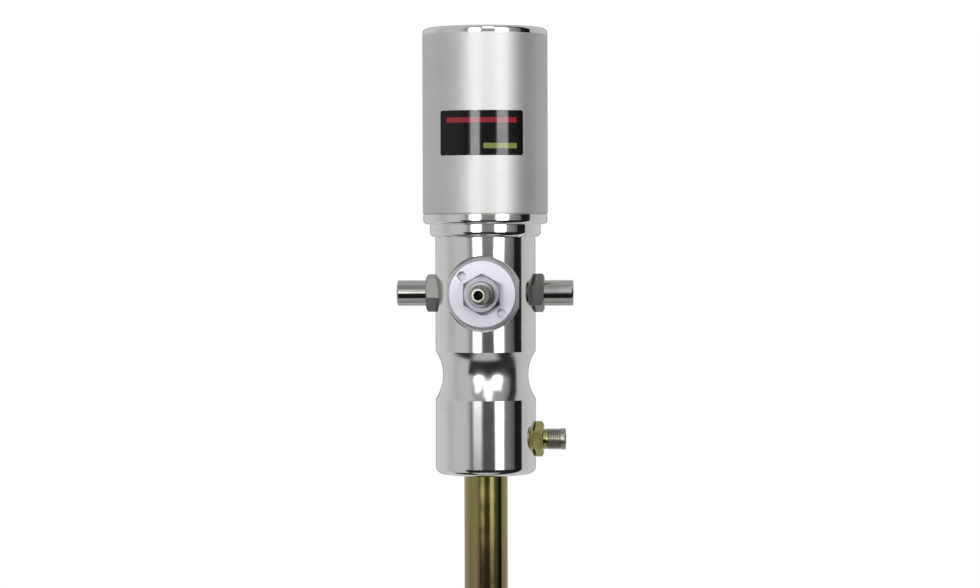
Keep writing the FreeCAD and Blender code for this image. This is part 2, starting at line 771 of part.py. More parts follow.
def shuttle_yoke():
    """Block round the piston rod, with an arm to the trip rod and claws that carry the slide valve."""
    half = YOKE_H / 2
    claw_low = VALVE_H / 2 + RUN
    claw_high = claw_low + CLAW_H
    yoke = fused([
        block(-YOKE_X, YOKE_X, -YOKE_FRONT, YOKE_BACK, -half, half),
        block(-ARM_X, ARM_X, -ARM_FRONT, 0, -half, half),
        block(-ARM_X, ARM_X, YOKE_HOLE_R, YOKE_BACK, -claw_high, claw_high),
        block(-ARM_X, ARM_X, YOKE_HOLE_R, YOKE_BACK + CLAW_REACH, claw_low, claw_high),
        block(-ARM_X, ARM_X, YOKE_HOLE_R, YOKE_BACK + CLAW_REACH, -claw_high, -claw_low),
    ])
    yoke = yoke.cut(rod(YOKE_HOLE_R, -claw_high, claw_high))
    yoke = yoke.cut(rod(TRIP_R, -half, half, y=TRIP_Y))
    for side in (-1, 1):
        start = Vector(side * NOSE_X, -YOKE_FRONT, 0)
        yoke = yoke.cut(Part.makeCylinder(NOSE_R + NOSE_PLAY, YOKE_FRONT + YOKE_BACK, start, BACK))
    yoke.translate(Vector(0, 0, YOKE_Z))
    return yoke


def slide_valve():
    cavity = PORT_PITCH / 2 + PORT_H / 2
    valve = block(-VALVE_X, VALVE_X, YOKE_BACK, VALVE_FACE, -VALVE_H / 2, VALVE_H / 2)
    valve = valve.cut(block(-CAVITY_X, CAVITY_X, VALVE_FACE - CAVITY_DEPTH, VALVE_FACE, -cavity, cavity))
    valve.translate(Vector(0, 0, YOKE_Z))
    return valve


def trip_rod():
    return rod(TRIP_R, YOKE_Z - YOKE_H / 2, TRIP_TOP, y=TRIP_Y)


def trip_stop(low):
    stop = rod(STOP_R, low, low + STOP_H, y=TRIP_Y)
    return stop.cut(rod(TRIP_R, low, low + STOP_H, y=TRIP_Y))


# Toggles, drawn from the pivot towards the nose along +Z and then laid over
def toggle_seat():
    back = -math.sqrt(0.5) * TOGGLE_BALL_R
    return turned(
        (0, -TOGGLE_BALL_R),
        ((-back, back), (TOGGLE_BALL_R, 0)),
        (TOGGLE_BALL_R, TOGGLE_FLANGE_END / 2),
        (SPRING_R, TOGGLE_FLANGE_END),
        (TOGGLE_STEM_R, TOGGLE_FLANGE_END),
        (TOGGLE_STEM_R, TOGGLE_STEM_END),
        (0, TOGGLE_STEM_END),
    )


def toggle_spring():
    """Square-wire compression spring between the seat and the plunger's flange."""
    length = PLUNGER_FLANGE - TOGGLE_FLANGE_END - SPRING_WIRE - 4 * RUN
    middle = SPRING_R - SPRING_WIRE / 2
    path = Part.makeHelix(length / SPRING_TURNS, length, middle)
    half = SPRING_WIRE / 2
    corners = [(-half, -half), (half, -half), (half, half), (-half, half), (-half, -half)]
    section = Part.makePolygon([Vector(middle + x, 0, z) for x, z in corners])
    coil = Part.Wire(path.Edges).makePipeShell([section], True, True)
    coil.translate(Vector(0, 0, TOGGLE_FLANGE_END + half + 2 * RUN))
    return coil


def toggle_plunger():
    bore = TOGGLE_STEM_R + 2 * RUN
    neck_low = PLUNGER_FLANGE + PLUNGER_FLANGE_H
    plunger = turned(
        (0, PLUNGER_SLEEVE_START),
        (PLUNGER_SLEEVE_R, PLUNGER_SLEEVE_START),
        (PLUNGER_SLEEVE_R, PLUNGER_FLANGE),
        (SPRING_R, PLUNGER_FLANGE),
        (SPRING_R, neck_low),
        (PLUNGER_NECK_R, neck_low),
        (PLUNGER_NECK_R, TOGGLE_LENGTH),
        (0, TOGGLE_LENGTH),
    )
    nose = Part.makeSphere(NOSE_R, Vector(0, 0, TOGGLE_LENGTH))
    return plunger.fuse(nose).cut(rod(bore, PLUNGER_SLEEVE_START, PLUNGER_FLANGE))


def laid_toggle(shape, side):
    reach = Vector(-side * (PIVOT_X - NOSE_X), 0, -SHIFT / 2)
    return aimed(shape, reach, Vector(side * PIVOT_X, 0, VALVE_Z))


# Exhaust silencer
def silencer_fitting():
    bore = SILENCER_R - SILENCER_WALL
    fitting = fused([rod(PIPE_R, -SILENCER_THREAD_L, 0), hexagon(SILENCER_AF, 0, SILENCER_HEX_L, turn=30)])
    return facing_back(fitting.cut(rod(bore, -SILENCER_THREAD_L, SILENCER_HEX_L)))


def silencer_element():
    """Sintered bronze cup with a domed end."""
    bore = SILENCER_R - SILENCER_WALL
    top = SILENCER_HEX_L + SILENCER_L
    lean = math.sqrt(0.5)
    shoulder = top - SILENCER_R
    inner = top - SILENCER_WALL - bore
    cup = turned(
        (SILENCER_R, SILENCER_HEX_L),
        (SILENCER_R, shoulder),
        ((SILENCER_R * lean, shoulder + SILENCER_R * lean), (0, top)),
        (0, top - SILENCER_WALL),
        ((bore * lean, inner + bore * lean), (bore, inner)),
        (bore, SILENCER_HEX_L),
    )
    return facing_back(cup)


# Grease outlet
def outlet_adaptor():
    thread = rod(PIPE_R, -OUTLET_THREAD_L, 0)
    nut = hexagon(OUTLET_AF, 0, OUTLET_HEX_L)
    stub_low = OUTLET_HEX_L + OUTLET_NECK_L
    stub = turned(
        (0, OUTLET_HEX_L),
        (OUTLET_NECK_R, OUTLET_HEX_L),
        (OUTLET_NECK_R, stub_low - OUTLET_CHAMFER),
        (PIPE_R, stub_low),
        (PIPE_R, OUTLET_REACH - OUTLET_CHAMFER),
        (PIPE_R - OUTLET_CHAMFER, OUTLET_REACH),
        (0, OUTLET_REACH),
    )
    whole = fused([thread, nut, stub]).cut(rod(OUTLET_BORE_R, -OUTLET_THREAD_L, OUTLET_REACH))
    depth = (OUTLET_CONE_R - OUTLET_BORE_R) * math.sqrt(3)
    cone = Part.makeCone(OUTLET_BORE_R, OUTLET_CONE_R, depth, Vector(0, 0, OUTLET_REACH - depth))
    return facing_side(whole.cut(cone), 1, OUTLET_Z, OUTLET_FLAT)


def outlet_washer():
    return facing_side(ring(OUTLET_WASHER_R, PIPE_R, -WASHER_T, 0), 1, OUTLET_Z, OUTLET_FLAT)


# Grease gland round the piston rod
def gland_bush():
    return ring(PACKING_R, ROD_R + RUN, GLAND_BUSH_Z, GLAND_TOP)


def gland_packing():
    """Stack of V rings, each lying in the one below."""
    rings = []
    middle = (PACKING_R + ROD_R) / 2
    for number in range(PACKING_RINGS):
        low = PACKING_Z + number * PACKING_RING_H
        high = low + PACKING_RING_H - PACKING_LIP
        rings.append(turned(
            (ROD_R + RUN, low),
            (middle, low + PACKING_LIP),
            (PACKING_R, low),
            (PACKING_R, high),
            (middle, high + PACKING_LIP),
            (ROD_R + RUN, high),
        ))
    return group(rings)


def gland_nut():
    nut = ring(GREASE_R, ROD_HOLE_R, GLAND_LOW, PACKING_Z)
    half = GLAND_NUT_SLOT / 2
    slot = block(-GREASE_R, GREASE_R, -half, half, GLAND_LOW, GLAND_LOW + GLAND_NUT_SLOT)
    return nut.cut(slot)


# Stem
def suction_tube():
    return turned(
        (TUBE_BORE_R, BARREL_TOP),
        (STEM_R - EDGE, BARREL_TOP),
        (STEM_R, BARREL_TOP + EDGE),
        (STEM_R, 0),
        (TUBE_THREAD_R, 0),
        (TUBE_THREAD_R, TUBE_THREAD_H),
        (TUBE_BORE_R, TUBE_THREAD_H),
    )


def tube_seal():
    return ring(TUBE_THREAD_R + TUBE_SEAL_W, TUBE_THREAD_R, TUBE_SEAL_Z, TUBE_SEAL_Z + TUBE_SEAL_H)


def pump_barrel():
    return turned(
        (FOOT_POCKET_R, FOOT_SEAT_TOP),
        (NOSE_THREAD_R, FOOT_SEAT_TOP),
        (NOSE_THREAD_R, BARREL_SHOULDER),
        (STEM_R - EDGE, BARREL_SHOULDER),
        (STEM_R, BARREL_SHOULDER + EDGE),
        (STEM_R, BARREL_TOP - EDGE),
        (STEM_R - EDGE, BARREL_TOP),
        (TUBE_BORE_R, BARREL_TOP),
        (TUBE_BORE_R, BARREL_TOP + BARREL_SPIGOT),
        (BARREL_BORE_R, BARREL_TOP + BARREL_SPIGOT),
        (BARREL_BORE_R, FOOT_POCKET_TOP),
        (FOOT_POCKET_R, FOOT_POCKET_TOP),
    )


def foot_valve_seat():
    return ring(NOSE_THREAD_R, FOOT_SEAT_BORE_R, FOOT_SEAT_Z, FOOT_SEAT_TOP)


def foot_valve_disc():
    return ring(FOOT_DISC_R, SHOVEL_ROD_R + RUN, FOOT_DISC_Z, FOOT_DISC_Z + FOOT_DISC_H)


def inlet_nose():
    nose = turned(
        (TUBE_BORE_R, TIP_Z),
        (STEM_R - 2 * EDGE, TIP_Z),
        (STEM_R, TIP_Z + 2 * EDGE),
        (STEM_R, BARREL_SHOULDER - EDGE),
        (STEM_R - EDGE, BARREL_SHOULDER),
        (NOSE_THREAD_R, BARREL_SHOULDER),
        (NOSE_THREAD_R, FOOT_SEAT_Z),
        (TUBE_BORE_R, FOOT_SEAT_Z),
    )
    middle = (SHOVEL_TOP + FOOT_SEAT_Z) / 2
    reach = SLOT_H / 2 - SLOT_W / 2
    for number in range(SLOTS):
        angle = 360 * number / SLOTS
        slot = block(0, 2 * STEM_R, -SLOT_W / 2, SLOT_W / 2, middle - reach, middle + reach)
        for z in (middle - reach, middle + reach):
            slot = slot.fuse(Part.makeCylinder(SLOT_W / 2, 2 * STEM_R, Vector(0, 0, z), RIGHT))
        slot.rotate(Vector(), UP, angle)
        nose = nose.cut(slot)
    return nose


# Air piston
def piston_grooves():
    seal_low = PISTON_TOP - SEAL_LAND - SEAL_H
    guide_low = PISTON_Z + SEAL_LAND
    face = LINER_BORE_R - RUN
    seal = ring(face, face - SEAL_DEPTH, seal_low, seal_low + SEAL_H)
    guide = ring(face, face - GUIDE_DEPTH, guide_low, guide_low + GUIDE_H)
    return seal, guide


def trip_groove():
    low = PISTON_Z + (PISTON_H - TRIP_SEAL_H) / 2
    seal = rod(STOP_R, low, low + TRIP_SEAL_H, y=TRIP_Y)
    return seal.cut(rod(TRIP_R + RUN, low, low + TRIP_SEAL_H, y=TRIP_Y))


def air_piston():
    piston = rod(LINER_BORE_R - PISTON_PLAY, PISTON_Z, PISTON_TOP)
    piston = piston.cut(rod(ROD_NECK_R, PISTON_Z, PISTON_TOP))
    piston = piston.cut(rod(TRIP_R + RUN, PISTON_Z, PISTON_TOP, y=TRIP_Y))
    for groove in (*piston_grooves(), trip_groove()):
        piston = piston.cut(groove)
    return piston


def piston_nut():
    top = PISTON_TOP + PISTON_NUT_H
    nut = hexagon(PISTON_NUT_AF, PISTON_TOP, top)
    return nut.cut(rod(ROD_NECK_R, PISTON_TOP, top))


def coupling_pins():
    places = (COUPLING_Z + COUPLING_H / 4, COUPLING_Z - COUPLING_H / 4)
    start = Vector(-COUPLING_R, 0, 0)
    return [Part.makeCylinder(COUPLING_PIN_R, 2 * COUPLING_R, start + UP * z, RIGHT) for z in places]


def without_pins(shape):
    for pin in coupling_pins():
        shape = shape.cut(pin)
    return shape


def piston_rod():
    shaft = rod(ROD_R, COUPLING_Z, PISTON_Z)
    neck = rod(ROD_NECK_R, PISTON_Z, PISTON_TOP + PISTON_NUT_H + NUT_PROUD)
    return without_pins(shaft.fuse(neck))


def rod_coupling():
    low, high = COUPLING_Z - COUPLING_H / 2, COUPLING_Z + COUPLING_H / 2
    sleeve = turned(
        (0, low),
        (COUPLING_R - 2 * EDGE, low),
        (COUPLING_R, low + 2 * EDGE),
        (COUPLING_R, high - 2 * EDGE),
        (COUPLING_R - 2 * EDGE, high),
        (0, high),
    )
    sleeve = sleeve.cut(rod(ROD_R, COUPLING_Z, high)).cut(rod(LINK_R, low, COUPLING_Z))
    return without_pins(sleeve)


def connecting_rod():
    shaft = rod(LINK_R, CAGE_TOP, COUPLING_Z)
    end = rod(CAGE_THREAD_R, CAGE_TOP - CAGE_THREAD_L, CAGE_TOP)
    return without_pins(shaft.fuse(end))


# Pump piston
def pump_seal():
    low = PUMP_LAND_Z + (PUMP_LAND_H - PUMP_SEAL_H) / 2
    face = BARREL_BORE_R - RUN
    return ring(face, face - PUMP_SEAL_DEPTH, low, low + PUMP_SEAL_H)


def pump_piston():
    """Lower half of the pump piston: windows, the way up to the ball, and the seat edge on top."""
    face = BARREL_BORE_R - RUN
    seat_z = CAGE_Z + PUMP_SPIGOT_H
    piston = turned(
        (0, PUMP_Z),
        (PUMP_STEM_R, PUMP_Z),
        (PUMP_STEM_R, PUMP_LAND_Z),
        (face, PUMP_LAND_Z),
        (face, CAGE_Z),
        (CAGE_BORE_R, CAGE_Z),
        (CAGE_BORE_R, seat_z),
        (0, seat_z),
    )
    piston = piston.cut(rod(PUMP_WAY_R, PUMP_Z, seat_z)).cut(pump_seal())
    window_z = PUMP_LAND_Z - PUMP_WINDOW_R - EDGE
    for way in (RIGHT, BACK):
        start = Vector(0, 0, window_z) - way * STEM_R
        piston = piston.cut(Part.makeCylinder(PUMP_WINDOW_R, 2 * STEM_R, start, way))
    return piston


def piston_cage():
    chamber_top = CAGE_TOP - CAGE_THREAD_L - EDGE
    cage = rod(CAGE_R, CAGE_Z, CAGE_TOP).cut(rod(CAGE_THREAD_R, CAGE_TOP - CAGE_THREAD_L, CAGE_TOP))
    cage = cage.cut(rod(CAGE_BORE_R, CAGE_Z, BALL_Z + BALL_R + BALL_LIFT + RUN))
    low = CAGE_Z + PUMP_SPIGOT_H
    high = min(BALL_Z + BALL_R, chamber_top)
    half = CAGE_WINDOW_W / 2
    cage = cage.cut(block(-CAGE_R, CAGE_R, -half, half, low, high))
    return cage.cut(block(-half, half, -CAGE_R, CAGE_R, low, high))


def piston_ball():
    return Part.makeSphere(BALL_R, Vector(0, 0, BALL_Z))


# Priming shovel
def shovel_rod():
    neck_top = rod(SHOVEL_NECK_R, PUMP_Z, PUMP_Z + PUMP_STEM_H / 2)
    shaft = rod(SHOVEL_ROD_R, SHOVEL_TOP, PUMP_Z)
    neck = rod(SHOVEL_NECK_R, SHOVEL_NUT_Z, SHOVEL_TOP)
    return fused([neck_top, shaft, neck])


def priming_shovel():
    """Dished disc that lifts grease into the pump."""
    return turned(
        (SHOVEL_NECK_R, SHOVEL_Z),
        (SHOVEL_R - EDGE, SHOVEL_Z),
        (SHOVEL_R, SHOVEL_Z + EDGE),
        (SHOVEL_R, SHOVEL_TOP),
        (SHOVEL_R - SHOVEL_T / 2, SHOVEL_TOP),
        (SHOVEL_R - SHOVEL_T, SHOVEL_Z + SHOVEL_T / 2),
        (2 * SHOVEL_ROD_R, SHOVEL_Z + SHOVEL_T / 2),
        (2 * SHOVEL_ROD_R - SHOVEL_T / 2, SHOVEL_TOP),
        (SHOVEL_NECK_R, SHOVEL_TOP),
    )


def shovel_nut():
    nut = hexagon(SHOVEL_NUT_AF, SHOVEL_NUT_Z, SHOVEL_Z, bevel_low=True, bevel_high=False)
    return nut.cut(rod(SHOVEL_NECK_R, SHOVEL_NUT_Z, SHOVEL_Z))


def pieces():
    """Every sub-part by name."""
    seal, guide = piston_grooves()
    found = {
        "motor_body": motor_body(),
        "cylinder_liner": cylinder_liner(),
        "outer_sleeve": outer_sleeve(),
        "cylinder_head": cylinder_head(),
        "cylinder_seals": cylinder_seals(),
        "rod_guide_bush": rod_guide_bush(),
        "rod_seal": rod_seal(),
        "seal_retaining_ring": seal_retaining_ring(),
        "trip_rod_seal": trip_rod_seal(),
        "passage_plug": passage_plug(),
        "inlet_cover": inlet_cover(),
        "cover_seal": cover_seal(),
        "air_nipple": air_nipple(),
        "nipple_washer": nipple_washer(),
        "toggle_cap_left": toggle_cap(-1, CAP_TURN_LEFT),
        "toggle_cap_right": toggle_cap(1, CAP_TURN_RIGHT),
        "cap_washers": cap_washers(),
        "valve_seat_plate": valve_seat_plate(),
        "seat_plate_screws": seat_plate_screws(),
        "silencer_fitting": silencer_fitting(),
        "silencer_element": silencer_element(),
        "outlet_adaptor": outlet_adaptor(),
        "outlet_washer": outlet_washer(),
        "gland_bush": gland_bush(),
        "gland_packing": gland_packing(),
        "gland_nut": gland_nut(),
        "suction_tube": suction_tube(),
        "tube_seal": tube_seal(),
        "pump_barrel": pump_barrel(),
        "foot_valve_seat": foot_valve_seat(),
        "foot_valve_disc": foot_valve_disc(),
        "inlet_nose": inlet_nose(),
        "air_piston": air_piston(),
        "piston_seal": seal,
        "piston_guide_ring": guide,
        "piston_trip_seal": trip_groove(),
        "piston_nut": piston_nut(),
        "piston_rod": piston_rod(),
        "rod_coupling": rod_coupling(),
        "coupling_pins": group(coupling_pins()),
        "connecting_rod": connecting_rod(),
        "pump_piston": pump_piston(),
        "pump_piston_seal": pump_seal(),
        "piston_cage": piston_cage(),
        "piston_ball": piston_ball(),
        "shovel_rod": shovel_rod(),
        "priming_shovel": priming_shovel(),
        "shovel_nut": shovel_nut(),
        "trip_rod": trip_rod(),
        "trip_stop_lower": trip_stop(LOW_STOP_TOP - STOP_H),
        "trip_stop_upper": trip_stop(HIGH_STOP_Z),
        "shuttle_yoke": shuttle_yoke(),
        "slide_valve": slide_valve(),
    }
    for name, side in (("left", -1), ("right", 1)):
        found[f"toggle_seat_{name}"] = laid_toggle(toggle_seat(), side)
        found[f"toggle_spring_{name}"] = laid_toggle(toggle_spring(), side)
        found[f"toggle_plunger_{name}"] = laid_toggle(toggle_plunger(), side)
    return found


os.makedirs("parts", exist_ok=True)
for name, shape in pieces().items():
    shape.exportStep(f"parts/{name}.step")
    print(f"{name}: {len(shape.Solids)} solid(s), {shape.Volume / 1000:.2f} cm3, valid {shape.isValid()}")
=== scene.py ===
# %% [markdown]
# # An air-driven grease pump, dressed for its picture
# The real object is a turned and polished motor body with a satin air cylinder on top, two capped
# toggles at its sides, an air nipple in front, a grease outlet low on the right and a plated stem
# below. The construction model holds every piece at its real size. This lesson leaves those pieces
# where they are and works on what the eye sees: the light, the finishes, and the small shapes that
# a construction model leaves out.

import math

import bmesh
import bpy
from mathutils import Matrix, Vector


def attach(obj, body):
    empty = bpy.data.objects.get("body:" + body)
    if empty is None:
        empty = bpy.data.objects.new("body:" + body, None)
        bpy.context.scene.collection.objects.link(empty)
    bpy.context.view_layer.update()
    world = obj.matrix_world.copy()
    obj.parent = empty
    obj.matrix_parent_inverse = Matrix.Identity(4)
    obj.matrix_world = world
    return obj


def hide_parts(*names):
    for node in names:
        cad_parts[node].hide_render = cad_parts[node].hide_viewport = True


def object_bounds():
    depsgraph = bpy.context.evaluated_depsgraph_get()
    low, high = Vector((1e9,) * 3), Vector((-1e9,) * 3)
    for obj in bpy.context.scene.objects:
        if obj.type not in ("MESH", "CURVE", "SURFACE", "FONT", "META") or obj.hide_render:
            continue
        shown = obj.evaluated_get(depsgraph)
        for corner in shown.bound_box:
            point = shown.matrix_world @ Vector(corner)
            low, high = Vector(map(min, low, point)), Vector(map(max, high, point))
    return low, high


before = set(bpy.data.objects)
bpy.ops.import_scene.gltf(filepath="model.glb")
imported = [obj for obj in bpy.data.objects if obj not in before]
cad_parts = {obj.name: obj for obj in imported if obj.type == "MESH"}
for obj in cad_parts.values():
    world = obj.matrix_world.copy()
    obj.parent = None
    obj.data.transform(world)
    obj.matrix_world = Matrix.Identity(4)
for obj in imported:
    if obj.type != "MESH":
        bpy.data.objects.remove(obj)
cad_low, cad_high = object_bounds()
MM = 0.001
print("CAD box in mm:", [round((high - low) / MM, 1) for low, high in zip(cad_low, cad_high)])

# %% [markdown]
# ## The camera
# The picture was taken from 1.75 m away, from just above the front cover and about three degrees
# to the right of the nipple. The long lens keeps verticals upright even though it looks down by a
# little more than a degree. Two distances measured in the picture aim the camera: how far the
# pump's axis stands left of the centre, and how far the horizon lies above it.

# %% Camera
PHOTO_WIDTH = 980
LENS_MM = 103.7
SENSOR_MM = 36
LENS_PIXELS = PHOTO_WIDTH * LENS_MM / SENSOR_MM
CAMERA_DISTANCE = 1.75
CAMERA_TURN = math.radians(3.5)
CAMERA_HEIGHT = 0.151
CAMERA_ROLL = math.radians(-0.14)
AXIS_LEFT_PIXELS = 4.5
HORIZON_UP_PIXELS = 64
AIMS_RIGHT = math.atan(AXIS_LEFT_PIXELS / LENS_PIXELS)
LOOKS_DOWN = math.atan(HORIZON_UP_PIXELS / LENS_PIXELS)

lens = bpy.data.cameras.new("camera")
lens.lens = LENS_MM
lens.sensor_width = SENSOR_MM
lens.clip_end = 20
camera = bpy.data.objects.new("camera", lens)
camera.location = (
    CAMERA_DISTANCE * math.sin(CAMERA_TURN),
    -CAMERA_DISTANCE * math.cos(CAMERA_TURN),
    CAMERA_HEIGHT,
)
turned = Matrix.Rotation(CAMERA_TURN - AIMS_RIGHT, 4, "Z")
lowered = Matrix.Rotation(math.pi / 2 - LOOKS_DOWN, 4, "X")
rolled = Matrix.Rotation(CAMERA_ROLL, 4, "Z")
camera.rotation_euler = (turned @ lowered @ rolled).to_euler()
bpy.context.scene.collection.objects.link(camera)
bpy.context.scene.camera = camera
print("camera at", tuple(round(c, 3) for c in camera.location))

# %% [markdown]
# ## Writing node trees as Python
# A finish is easier to read as a formula than as a web of nodes. `Flow` wraps the output of one
# node: adding or multiplying two flows adds the Math node that does it. `Tree.add` makes any other
# node from its settings and the values or flows of its sockets. The same two classes serve
# materials, the world and Geometry Nodes.

# %% Flow: a socket that can be calculated with
class Flow:
    """The output of one node in a tree; arithmetic on it adds Math nodes."""

    def __init__(self, tree, socket):
        self.tree = tree
        self.socket = socket

    def maths(self, operation, *values):
        return self.tree.add("ShaderNodeMath", {"operation": operation}, dict(enumerate(values)))

    def __add__(self, other):
        return self.maths("ADD", self, other)

    def __radd__(self, other):
        return self.maths("ADD", other, self)

    def __sub__(self, other):
        return self.maths("SUBTRACT", self, other)

    def __rsub__(self, other):
        return self.maths("SUBTRACT", other, self)

    def __mul__(self, other):
        return self.maths("MULTIPLY", self, other)

    def __rmul__(self, other):
        return self.maths("MULTIPLY", other, self)

    def __truediv__(self, other):
        return self.maths("DIVIDE", self, other)

    def __abs__(self):
        return self.maths("ABSOLUTE", self)

    def most(self, other):
        return self.maths("MAXIMUM", self, other)

    def beside(self, other):
        """Length of the right-angled pair (self, other)."""
        return self.maths("SQRT", self * self + other * other)

    def rise(self, start, end):
        """Smooth step from 0 at start to 1 at end."""
        settings = {"interpolation_type": "SMOOTHSTEP"}
        sockets = {"Value": self, "From Min": start, "From Max": end, "To Min": 0.0, "To Max": 1.0}
        return self.tree.add("ShaderNodeMapRange", settings, sockets)

    def band(self, start, end, soft):
        """1 between start and end, fading to 0 over soft at each side."""
        return self.rise(start - soft, start + soft) * (1 - self.rise(end - soft, end + soft))

    def profile(self, *stops):
        """Brightness between (place, brightness) stops, with straight lines between them."""
        start, end = stops[0][0], stops[-1][0]
        stops = [((place - start) / (end - start), grey) for place, grey in stops]
        share = (self - start) / (end - start)
        return self.tree.add("ShaderNodeValToRGB", {"stops": stops}, {0: share})

    def lookup(self, *stops):
        """Like profile, for numbers up to 100."""
        return 100 * self.profile(*((place, number / 100) for place, number in stops))


print("Flow ready")

# %% Tree: nodes from a call each
class Tree:
    """A node tree that starts empty."""

    def __init__(self, node_tree):
        self.nodes = node_tree.nodes
        self.links = node_tree.links
        self.nodes.clear()

    def add(self, kind, settings=None, sockets=None, output=0):
        """A new node; the flow of its chosen output comes back."""
        node = self.nodes.new(kind)
        for name, value in (settings or {}).items():
            if name == "stops":
                self.set_stops(node.color_ramp, value)
            else:
                setattr(node, name, value)
        for key, value in (sockets or {}).items():
            if isinstance(value, Flow):
                self.links.new(value.socket, node.inputs[key])
            else:
                node.inputs[key].default_value = value
        return Flow(self, node.outputs[output]) if node.outputs else None

    def set_stops(self, color_ramp, stops):
        elements = color_ramp.elements
        while len(elements) < len(stops):
            elements.new(0.5)
        for element, (place, grey) in zip(elements, stops):
            element.position = place
            element.color = (grey, grey, grey, 1)

    def outputs(self, kind, **sockets):
        """All outputs of one node by name."""
        first = self.add(kind, sockets=sockets)
        return {output.name: Flow(self, output) for output in first.socket.node.outputs}

    def axes(self, vector):
        """The three numbers of a vector."""
        return self.outputs("ShaderNodeSeparateXYZ", Vector=vector).values()

    def vector(self, x, y, z):
        return self.add("ShaderNodeCombineXYZ", sockets={0: x, 1: y, 2: z})

    def mix(self, factor, first, second):
        """Blend of two colours, which are the Mix node's sockets 6 and 7."""
        settings = {"data_type": "RGBA"}
        return self.add("ShaderNodeMix", settings, {0: factor, 6: first, 7: second}, output=2)


def colour(red, green, blue):
    return (red, green, blue, 1.0)


WHITE = colour(1, 1, 1)
print("Tree ready")

# %% [markdown]
# ## The studio
# Polished metal shows nothing but its surroundings, so the studio is what makes the body look as it
# does: two tall soft boxes in front, a dark gap between them where the camera stands, a third light
# overhead, a black flag at the right, a dark table below and a pale tent behind. Each light could
# be a lamp, but a mirror finish shows a lamp's edges and noise. Here the world itself holds them,
# drawn by compass angle (`turn`) and height as seen from the pump, in degrees, with soft edges.
# Steeply below, a paler patch of the floor shows past the table and lights what faces down. The
# wall at the right is a little brighter above the horizon.

# %% Soft boxes
BOX_LIGHT = 1.5
HOT_LEFT = 12
HOT_RIGHT = 10.4
HOT_HEIGHTS = (0.3, 10, 2)
CORE_SOFT = 1.5
LEFT_BOX = {
    "turns": (-29.5, -9), "soft": 4.5, "low": (-6.2, -1.4),
    "core": (-26.7, -10.1), "core_low": (-5.8, -1.7),
}
RIGHT_BOX = {
    "turns": (19.2, 43.6), "soft": 2.2, "low": (-4.6, -1.8),
    "core": (21.7, 42.1), "core_low": (-6.7, -5.1),
}
BOX_TOPS = ((-32, 42), (-20, 40), (-8, 29), (-5, 28), (19, 33), (46, 33))
BOX_TOP_FADE = (-4, 4)
OVERHEAD = {"turns": (-5, 20, 2), "heights": (9.5, 66, 3)}


def panel(turn, height, turns, heights):
    """1 inside a panel; each span is (start, end, softness)."""
    return turn.band(*turns) * height.band(*heights)


def soft_box(turn, height, turns, soft, low, core, core_low):
    """Shape of a soft box and of its bright core; low is the span where its lower edge fades."""
    hot = turn.band(*core, CORE_SOFT) * height.rise(*core_low)
    return (turn.band(*turns, soft) * height.rise(*low)).most(hot), hot


def lit_boxes(turn, height):
    """How much of a direction the boxes cover, and what their bright cores add."""
    below_top = 1 - (height - turn.lookup(*BOX_TOPS)).rise(*BOX_TOP_FADE)
    left, hot_left = soft_box(turn, height, **LEFT_BOX)
    right, hot_right = soft_box(turn, height, **RIGHT_BOX)
    cores = (HOT_LEFT - BOX_LIGHT) * hot_left + (HOT_RIGHT - BOX_LIGHT) * hot_right
    boxes = (left.most(right) * below_top).most(panel(turn, height, **OVERHEAD))
    return boxes, cores * height.band(*HOT_HEIGHTS)


print("soft boxes:", BOX_LIGHT, "bright, their cores", HOT_LEFT, "and", HOT_RIGHT)

# %% Walls, table and flag
TABLE_LIGHT = 0.018
TABLE_EDGE = (-10, -6)
PATCH_LIGHT = 0.45
PATCH = {"turns": (-42, 42, 8), "top": (-50, -44)}
FLAG_LIGHT = 0.01
FLAG = {"turns": (69.3, 91.2, 1), "heights": (-60, 60, 5)}
GAP_LEFT_EDGE = (-34, -32)
GAP_RIGHT_EDGE = (22, 24)
GAP = ((-6, 0.065), (-2.5, 0.09), (-0.5, 0.14), (0.5, 0.28), (6, 0.32))
LEFT_FILL = (
    (-48, 0.53), (-43.5, 0.49), (-41, 0.44), (-38.5, 0.37), (-36, 0.28), (-33.5, 0.2),
)
RIGHT_FILL = ((46, 0.19), (56, 0.16), (63, 0.11), (70, 0.085))
HORIZON = (-1, 1)
RIGHT_LIFT = 0.8


def reaches_up(turn, height, turns, top):
    """1 over those turns from straight below up to the top, which fades over its span."""
    return turn.band(*turns) * (1 - height.rise(*top))


def walls(turn, height):
    """The wall left of the boxes, the gap between them and the wall right of them."""
    past_left, past_right = turn.rise(*GAP_LEFT_EDGE), turn.rise(*GAP_RIGHT_EDGE)
    left = turn.profile(*LEFT_FILL) * (1 - past_left)
    between = height.profile(*GAP) * (past_left * (1 - past_right))
    lift = 1 + RIGHT_LIFT * height.rise(*HORIZON)
    return left + between + turn.profile(*RIGHT_FILL) * lift * past_right


def front_light(turn, height):
    """The half of the studio that the camera stands in."""
    table = 1 - height.rise(*TABLE_EDGE)
    inside = walls(turn, height) * (1 - table) + TABLE_LIGHT * table
    inside = inside + PATCH_LIGHT * reaches_up(turn, height, **PATCH)
    boxes, cores = lit_boxes(turn, height)
    lit = inside * (1 - boxes) + BOX_LIGHT * boxes + cores
    flag = panel(turn, height, **FLAG)
    return lit * (1 - flag) + FLAG_LIGHT * flag


print("front of the studio: table", TABLE_LIGHT, "and flag", FLAG_LIGHT, "bright")

